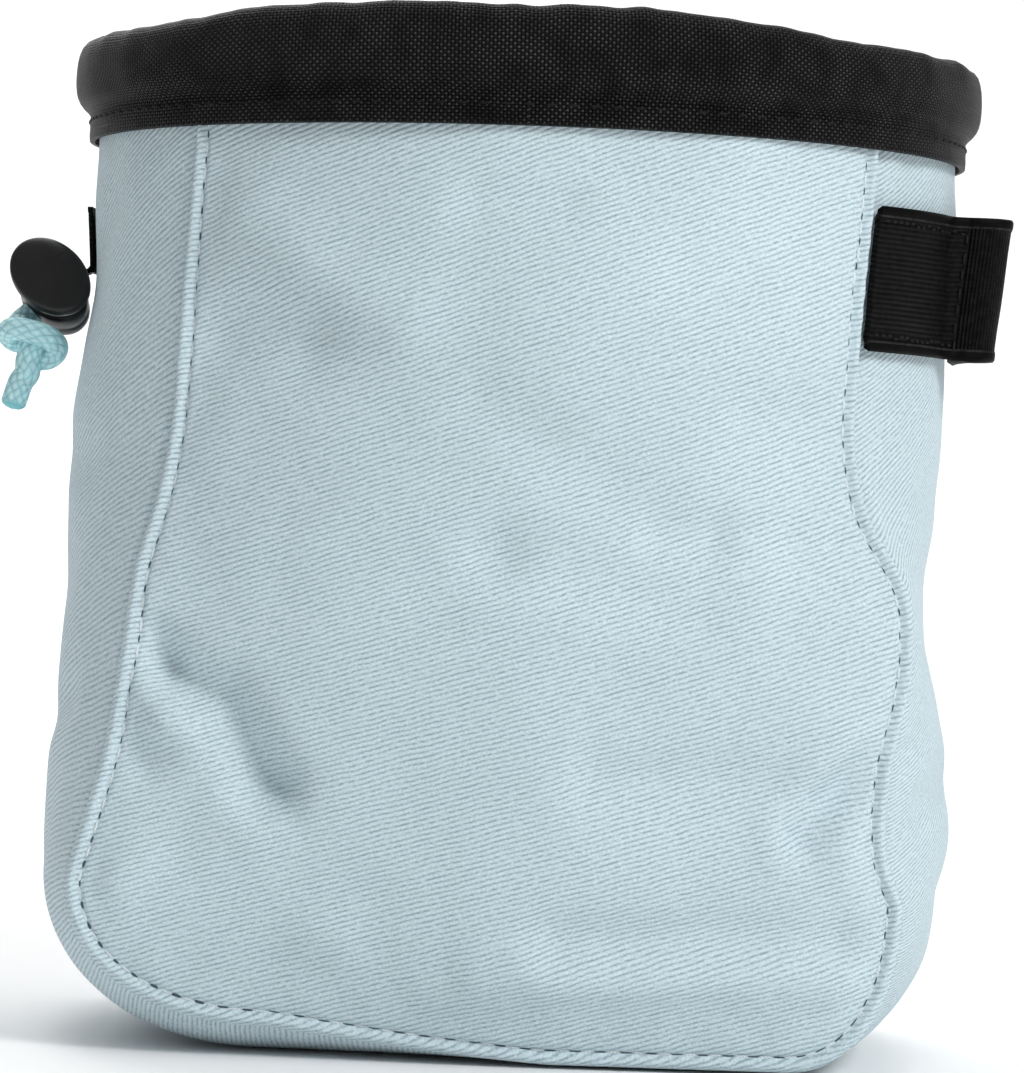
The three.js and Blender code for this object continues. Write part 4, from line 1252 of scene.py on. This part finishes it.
class CHALKBAG_OT_brush_loop(bpy.types.Operator):
    """Makes the elastic loop that holds a brush, sewn to the right side"""

    bl_idname = "chalkbag.brush_loop"
    bl_label = "Brush loop"

    # Where the band lies on the gusset, from its front end to the loop, and behind the loop
    FLAT_FRONT = (-1.0, -0.92, -0.84, -0.76, -0.68, -0.6, -0.51)
    FLAT_BACK = (-0.05, 0.02, 0.1)
    HUMP_START = -0.47
    HUMP_WIDTH = 10
    # The loop: share of the way back, and share of its reach
    HUMP = (
        (0.02, 0.22), (0.08, 0.50), (0.20, 0.80), (0.42, 0.98),
        (0.66, 0.97), (0.86, 0.78), (0.96, 0.50), (1.00, 0.24),
    )
    # The loop's reach in mm, at the band's lower and upper edge
    REACH = (6.9, 8.3)
    # From the top of the rim down to the middle of the band
    DROP = 39.0
    # Air under the band, and its thickness
    LIFT = 0.6
    THICKNESS = 1.2

    def rails(self, sizes, body, share):
        """The band's outer face at one height, as points from its front end to its back end."""
        low = sizes.height - self.DROP * MM - sizes.elastic_width / 2
        place = ("height", 1, (low + share * sizes.elastic_width) / body.wall_top)
        lift = (self.LIFT + self.THICKNESS) * MM

        def on_gusset(around, rise=lift):
            return body.gusset_point(place, around) + body.gusset_out(place, around) * rise

        start = on_gusset(self.HUMP_START)
        end = on_gusset(self.HUMP_START + self.HUMP_WIDTH * MM / body.seam_depth(place))
        out = ((end - start) * Vector((1, 1, 0))).normalized()
        out = Vector((out.y, -out.x, 0))
        reach = lerp(*self.REACH, share) * MM
        hump = [start.lerp(end, along) + out * rise * reach for along, rise in self.HUMP]
        return [on_gusset(a) for a in self.FLAT_FRONT] + hump + [on_gusset(a) for a in self.FLAT_BACK]

    def execute(self, context):
        sizes, colours = context.scene.chalk_bag_sizes, context.scene.chalk_bag_colours
        body = Body(sizes)
        columns, rows = 200, 60
        rails = [smooth_line(self.rails(sizes, body, k / rows), columns + 1) for k in range(rows + 1)]
        band = line_length(rails[rows // 2])
        sewn = line_length(self.rails(sizes, body, 0.5)[:len(self.FLAT_FRONT) + 1])

        def relief(u, v, vert):
            """A thick selvage along each edge, a dent under the stitch line, and a soft unevenness."""
            edge = min(v, 1 - v) * sizes.elastic_width / MM
            selvage = 0.22 * (1 - ease(edge, 1.45, 1.75)) * ease(edge, 0.0, 0.35)
            stitched = -0.28 * bump((u * band - sewn) / MM, 0.55) * (1 if edge > 1.6 else 0.3)
            rows_sewn = -0.16 * bump(edge - 2.5, 0.5) * (1 if u * band < sewn else 0)
            soft = 0.12 * soft_noise(vert.co, 6 * MM, 6.6)
            return (selvage + stitched + rows_sewn + soft) * MM

        bm = sheet_mesh(
            columns, rows,
            lambda u, v: rails[round(v * rows)][round(u * columns)],
            lambda c: Vector((1, -0.4, 0)), relief,
            lambda u, v: (u * band, v * sizes.elastic_width),
        )
        elastic = ribbed_elastic(sizes, colours, sewn)
        new_piece(
            "brush_band", bm, "bag", [elastic], self.THICKNESS * MM,
            replaced=("brush_loop",),
        )
        self.sew(context, rails, band, sewn, columns, rows)
        return {"FINISHED"}

    def sew(self, context, rails, band, sewn, columns, rows):
        """Black stitches: a line at the loop's root, two rows along the flat part, and a line at the
        band's back end."""
        sizes, colours = context.scene.chalk_bag_sizes, context.scene.chalk_bag_colours
        surface = surface_of("brush_band")
        width = sizes.elastic_width / MM
        bm = bmesh.new()
        dice = random.Random(5)

        def put(along, up, upright, size):
            row, column = round(up / width * rows), round(along / (band / MM) * columns)
            column = min(max(column, 0), columns - 1)
            point = rails[row][column]
            run = rails[row][column + 1] - point
            rise = rails[min(row + 1, rows)][column] - rails[max(row - 1, 0)][column]
            centre, normal, _, _ = surface.find_nearest(point)
            add_stitch(bm, centre + normal * 0.12 * MM, rise if upright else run, normal, size)

        up = 2.2
        while up < width - 2:
            put(sewn / MM, up, True, (1.9, 0.55, 0.5))
            put(band / MM - 2, up, True, (1.9, 0.5, 0.45))
            up += 2.9
        along = 1.5
        while along < sewn / MM - 0.8:
            for edge in (2.5, width - 2.5):
                put(along, edge + dice.uniform(-0.15, 0.15), False, (1.15, 0.5, 0.42))
            along += 1.6
        new_piece("brush_stitches", bm, "bag", [black_thread(colours)])


class CHALKBAG_OT_belt_loop(bpy.types.Operator):
    """Makes the webbing strap on the back that a waist belt threads through"""

    bl_idname = "chalkbag.belt_loop"
    bl_label = "Belt loop"

    # In mm: from the top of the rim down to the strap's top, its free span, and each sewn end
    TOP_DROP = 34.8
    SPAN = 44
    SEWN = 11
    # How far the span stands off the back, the webbing's thickness, and the air under it
    GAP = 7
    THICKNESS = 1.5
    LIFT = 0.3
    # The rows of stitches, from each end of the strap, and the box's distance from the edges
    ROWS = (1.8, 9.2)
    SIDE = 2.2
    # Rays start this many metres behind the bag's middle to find what lies on its back
    BEHIND = 0.12

    def execute(self, context):
        sizes, colours = context.scene.chalk_bag_sizes, context.scene.chalk_bag_colours
        body = Body(sizes)
        top = sizes.height - self.TOP_DROP * MM
        low = top - (self.SPAN + 2 * self.SEWN) * MM
        surface = surface_of("back_cloth")
        sewn = self.SEWN * MM

        def seat(x, z):
            return surface.ray_cast(Vector((x, self.BEHIND, z)), Vector((0, -1, 0)))[0].y

        middle = {}

        def point_at(u, v):
            x = sizes.strap_width * (u - 0.5)
            z = lerp(low, top, v)
            arch = ease(min(z - low, top - z), sewn * 0.8, sewn + 6 * MM)
            if v not in middle:
                middle[v] = seat(0, z)
            flat = max(seat(x, z), middle[v] - 0.6 * MM)
            y = lerp(flat, middle[v], arch) + (self.LIFT + self.THICKNESS) * MM + arch * self.GAP * MM
            return Vector((x, y, z))

        def relief(u, v, vert):
            edge = min(u, 1 - u) * sizes.strap_width / MM
            selvage = 0.18 * (1 - ease(edge, 1.2, 1.6)) * ease(edge, 0, 0.4)
            end = min(v, 1 - v) * (top - low) / MM
            rows = sum(-0.22 * bump(end - at, 0.4) for at in self.ROWS)
            return (selvage + rows + 0.1 * soft_noise(vert.co, 7 * MM, 3.7)) * MM

        bm = sheet_mesh(
            48, 150, point_at, lambda c: Vector((0, 1, 0)), relief,
            lambda u, v: (v * (top - low), u * sizes.strap_width),
        )
        cloth = shared_material("black_webbing", lambda: webbing("black_webbing", colours.elastic, 0.9 * MM))
        new_piece("belt_strap", bm, "bag", [cloth], self.THICKNESS * MM, replaced=("belt_loop",))
        self.sew(context, low, top)
        return {"FINISHED"}

    def sew(self, context, low, top):
        """A box of stitches with a cross in it at each end of the strap."""
        sizes, colours = context.scene.chalk_bag_sizes, context.scene.chalk_bag_colours
        surface = surface_of("belt_strap")
        bm = bmesh.new()
        half = sizes.strap_width / 2 - self.SIDE * MM
        first, last = (row * MM for row in self.ROWS)
        for near, far in ((low + first, low + last), (top - last, top - first)):
            corners = ((-half, near), (half, near), (half, far), (-half, far))
            lines = [(corners[k], corners[(k + 1) % 4]) for k in range(4)]
            lines += [(corners[0], corners[2]), (corners[1], corners[3])]
            for start, end in lines:
                run = Vector((end[0] - start[0], 0, end[1] - start[1]))
                count = max(2, round(run.length / (2.1 * MM)))
                for k in range(count):
                    place = Vector((start[0], self.BEHIND, start[1])) + run * ((k + 0.5) / count)
                    centre, normal, _, _ = surface.ray_cast(place, Vector((0, -1, 0)))
                    add_stitch(bm, centre + normal * 0.08 * MM, run, normal, (1.7, 0.5, 0.45))
        new_piece("belt_stitches", bm, "bag", [black_thread(colours)])


class CHALKBAG_OT_lock_tab(bpy.types.Operator):
    """Makes the tape tab on the left side that the draw cord leaves the bag at"""

    bl_idname = "chalkbag.lock_tab"
    bl_label = "Lock tab"

    # In mm: from the top of the rim down to the tab's lower edge, and the tape's width
    LOW_DROP = 40.0
    HEIGHT = 11
    # Air under the tape, its thickness, and the width of its tongue
    LIFT = 0.6
    THICKNESS = 0.8
    TONGUE = 4

    def execute(self, context):
        sizes, colours = context.scene.chalk_bag_sizes, context.scene.chalk_bag_colours
        body = Body(sizes)
        low = sizes.height - self.LOW_DROP * MM
        lift = (self.LIFT + self.THICKNESS) * MM

        def point_at(u, v):
            place = ("height", -1, (low + self.HEIGHT * MM * v) / body.wall_top)
            around = lerp(0.01, 0.8, u)
            return body.gusset_point(place, around) + body.gusset_out(place, around) * lift

        span = (point_at(1, 0.5) - point_at(0, 0.5)).length

        def relief(u, v, vert):
            edge = min(v, 1 - v) * self.HEIGHT
            return (0.12 * (1 - ease(edge, 0.8, 1.1)) + 0.08 * soft_noise(vert.co, 4 * MM, 2.9)) * MM

        bm = sheet_mesh(
            90, 30, point_at, lambda c: Vector((-1, 0.3, 0)), relief,
            lambda u, v: (u * span, v * self.HEIGHT * MM),
        )
        cloth = shared_material("black_tape", lambda: webbing("black_tape", colours.elastic, 0.5 * MM))
        new_piece("tab_tape", bm, "bag", [cloth], self.THICKNESS * MM)
        self.tongue(cloth, point_at(0, 0))
        return {"FINISHED"}

    def tongue(self, cloth, root):
        """The short end of the tape that reaches from the tab to the lock."""
        low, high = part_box("lock_tab")
        start = Vector((root.x + 0.1 * MM, root.y + 0.3 * MM, root.z + 1.2 * MM))
        end = Vector((low.x + 0.2 * MM, root.y + 0.3 * MM, low.z + 0.6 * MM))

        def point_at(u, v):
            point = start.lerp(end, u)
            sag = 0.3 * MM * math.sin(math.pi * u)
            return Vector((point.x, point.y + self.TONGUE * MM * v, point.z - sag))

        bm = sheet_mesh(
            14, 14, point_at, lambda c: Vector((-0.3, 0, 1)), None,
            lambda u, v: (u * (end - start).length, v * self.TONGUE * MM),
        )
        new_piece(
            "tab_tongue", bm, "bag", [cloth], self.THICKNESS * MM, replaced=("lock_tab",)
        )


class CHALKBAG_OT_cord_lock(bpy.types.Operator):
    """Makes the cord lock: its barrel with the cord's hole, and its oval button"""

    bl_idname = "chalkbag.cord_lock"
    bl_label = "Cord lock"

    # A point in mm half a millimetre behind the middle of the button's face, the way the face looks,
    # and roughly the way of its long side
    CENTRE = (-78.27, -6.0, 124.2)
    OUT = (0, -0.93, 0.37)
    LONG_HINT = (0.664, 0, -0.748)
    # Long and short diameters of the button, the barrel and the hole for the stem
    BUTTON = (15.6, 11.6)
    BARREL = (13.6, 10.0)
    STEM_HOLE = (10.4, 6.6)
    # In mm: depth of the barrel's front behind CENTRE, the barrel's length, depth of the stem's hole
    # behind the barrel's front, and depth of the cord's hole behind CENTRE, with its radius
    BARREL_FRONT = 5.3
    BARREL_LENGTH = 7.6
    STEM_DEPTH = 6.3
    CHANNEL_DEEP = 8.872
    CHANNEL_RADIUS = 2.45
    # One leg of the button's forked stem: its middle, and its size
    LEG_PLACE = (3.5, 0, -5.4)
    LEG_SIZE = (1.8, 3.2, 6.4)

    def axes(self):
        out = Vector(self.OUT).normalized()
        hint = Vector(self.LONG_HINT)
        long_way = (hint - out * hint.dot(out)).normalized()
        return long_way, out.cross(long_way), out

    def placed(self):
        """From the lock's own axes, in mm: long way, short way and out, to the bag's frame."""
        turn = Matrix(self.axes()).transposed().to_4x4()
        return Matrix.Translation(Vector(self.CENTRE) * MM) @ turn @ Matrix.Scale(MM, 4)

    def oval(self, profile, size, segments=96):
        """A section of radius shares and depths, spun once round and drawn out to an oval."""
        bm = bmesh.new()
        verts = [bm.verts.new((radius, 0, -deep)) for radius, deep in profile]
        edges = [bm.edges.new(pair) for pair in zip(verts, verts[1:])]
        bmesh.ops.spin(
            bm, geom=verts + edges, cent=(0, 0, 0), axis=(0, 0, 1), dvec=(0, 0, 0),
            angle=2 * math.pi, steps=segments, use_merge=True, use_duplicate=False,
        )
        bmesh.ops.remove_doubles(bm, verts=bm.verts, dist=1e-5)
        bmesh.ops.recalc_face_normals(bm, faces=bm.faces)
        bmesh.ops.scale(bm, vec=(size[0] / 2, size[1] / 2, 1), verts=bm.verts)
        return bm

    def execute(self, context):
        colours = context.scene.chalk_bag_colours
        plastic = shared_material("moulded_acetal", lambda: moulded_plastic(colours))
        # A domed face with a soft rim, a rounded edge and a flat back, then the stem
        button = self.oval((
            (0, -0.50), (0.2, -0.49), (0.4, -0.45), (0.6, -0.36), (0.74, -0.26), (0.84, -0.14),
            (0.90, -0.02), (0.945, 0.16), (0.975, 0.40), (0.992, 0.75), (1.0, 1.2), (0.996, 1.65),
            (0.98, 2.0), (0.95, 2.25), (0.90, 2.4), (0.56, 2.4), (0.54, 2.5), (0.54, 3.7), (0, 3.7),
        ), self.BUTTON)
        # The stem forks into two legs, one on each side of the cord
        for side in (-1, 1):
            middle = Vector((side * self.LEG_PLACE[0], *self.LEG_PLACE[1:]))
            place = Matrix.Translation(middle) @ Matrix.Diagonal((*self.LEG_SIZE, 1))
            bmesh.ops.create_cube(button, size=1, matrix=place)
        bmesh.ops.transform(button, matrix=self.placed(), verts=button.verts)
        new_piece(
            "lock_button_cap", button, "lock_button", [plastic],
            replaced=("lock_plunger",),
        )
        front, far = self.BARREL_FRONT, self.BARREL_FRONT + self.BARREL_LENGTH
        barrel = self.oval((
            (0, far), (0.5, far), (0.72, far - 0.05), (0.86, far - 0.35), (0.95, far - 0.95),
            (1.0, far - 1.9), (1.0, far - 3.4), (0.985, far - 3.7), (0.985, far - 4.0), (1.0, far - 4.3),
            (1.0, front + 1.0), (0.985, front + 0.4), (0.95, front + 0.1), (0.90, front), (0, front),
        ), self.BARREL)
        bmesh.ops.transform(barrel, matrix=self.placed(), verts=barrel.verts)
        made = new_piece(
            "lock_body", barrel, "bag", [plastic], replaced=("lock_barrel",)
        )
        self.bore(made)
        return {"FINISHED"}

    def bore(self, barrel):
        """Cuts the cord's hole across the barrel's short way, and the stem's hole into its front."""
        hole = bmesh.new()
        radius = self.CHANNEL_RADIUS
        bmesh.ops.create_cone(hole, cap_ends=True, segments=40, radius1=radius, radius2=radius, depth=24)
        turn = Matrix.Translation((0, 0, -self.CHANNEL_DEEP)) @ Matrix.Rotation(math.pi / 2, 4, "X")
        bmesh.ops.transform(hole, matrix=turn, verts=hole.verts)
        near, end = self.BARREL_FRONT - 1, self.BARREL_FRONT + self.STEM_DEPTH
        stem = self.oval(((0, near), (1, near), (1, end), (0, end)), self.STEM_HOLE)
        tools = []
        for name, bm in (("bore", hole), ("stem_hole", stem)):
            bmesh.ops.transform(bm, matrix=self.placed(), verts=bm.verts)
            mesh = bpy.data.meshes.new(name)
            bm.to_mesh(mesh)
            bm.free()
            tools.append(bpy.data.objects.new(name, mesh))
            bpy.context.scene.collection.objects.link(tools[-1])
            cut = barrel.modifiers.new(name, "BOOLEAN")
            cut.operation = "DIFFERENCE"
            cut.solver = "EXACT"
            cut.object = tools[-1]
        bpy.context.view_layer.update()
        graph = bpy.context.evaluated_depsgraph_get()
        finished = bpy.data.meshes.new_from_object(barrel.evaluated_get(graph))
        barrel.modifiers.clear()
        barrel.data = finished
        for tool in tools:
            bpy.data.objects.remove(tool)
        bm = bmesh.new()
        bm.from_mesh(finished)
        for edge in bm.edges:
            edge.smooth = edge.calc_face_angle(0) < math.radians(40)
        bm.to_mesh(finished)
        bm.free()


OPERATORS = (
    CHALKBAG_OT_stage, CHALKBAG_OT_draw_cord, CHALKBAG_OT_panels, CHALKBAG_OT_gusset,
    CHALKBAG_OT_seam_stitches, CHALKBAG_OT_rim, CHALKBAG_OT_brush_loop, CHALKBAG_OT_belt_loop,
    CHALKBAG_OT_lock_tab, CHALKBAG_OT_cord_lock,
)


class CHALKBAG_PT_panel(bpy.types.Panel):
    """The bag's builders, sizes and colours"""

    bl_idname = "CHALKBAG_PT_panel"
    bl_label = "Chalk bag"
    bl_space_type = "VIEW_3D"
    bl_region_type = "UI"
    bl_category = "Chalk bag"

    def draw(self, context):
        for operator in OPERATORS:
            self.layout.operator(operator.bl_idname)
        for group in (context.scene.chalk_bag_sizes, context.scene.chalk_bag_colours):
            box = self.layout.box()
            for name in group.__annotations__:
                box.prop(group, name)


CLASSES = (ChalkBagSizes, ChalkBagColours, *OPERATORS, CHALKBAG_PT_panel)


def register():
    for cls in CLASSES:
        bpy.utils.register_class(cls)
    bpy.types.Scene.chalk_bag_sizes = PointerProperty(type=ChalkBagSizes)
    bpy.types.Scene.chalk_bag_colours = PointerProperty(type=ChalkBagColours)


def unregister():
    del bpy.types.Scene.chalk_bag_colours
    del bpy.types.Scene.chalk_bag_sizes
    for cls in reversed(CLASSES):
        bpy.utils.unregister_class(cls)


def main():
    register()
    for operator in OPERATORS:
        group, name = operator.bl_idname.split(".")
        getattr(getattr(bpy.ops, group), name)()
    bpy.context.view_layer.update()


if __name__ == "__main__":
    main()
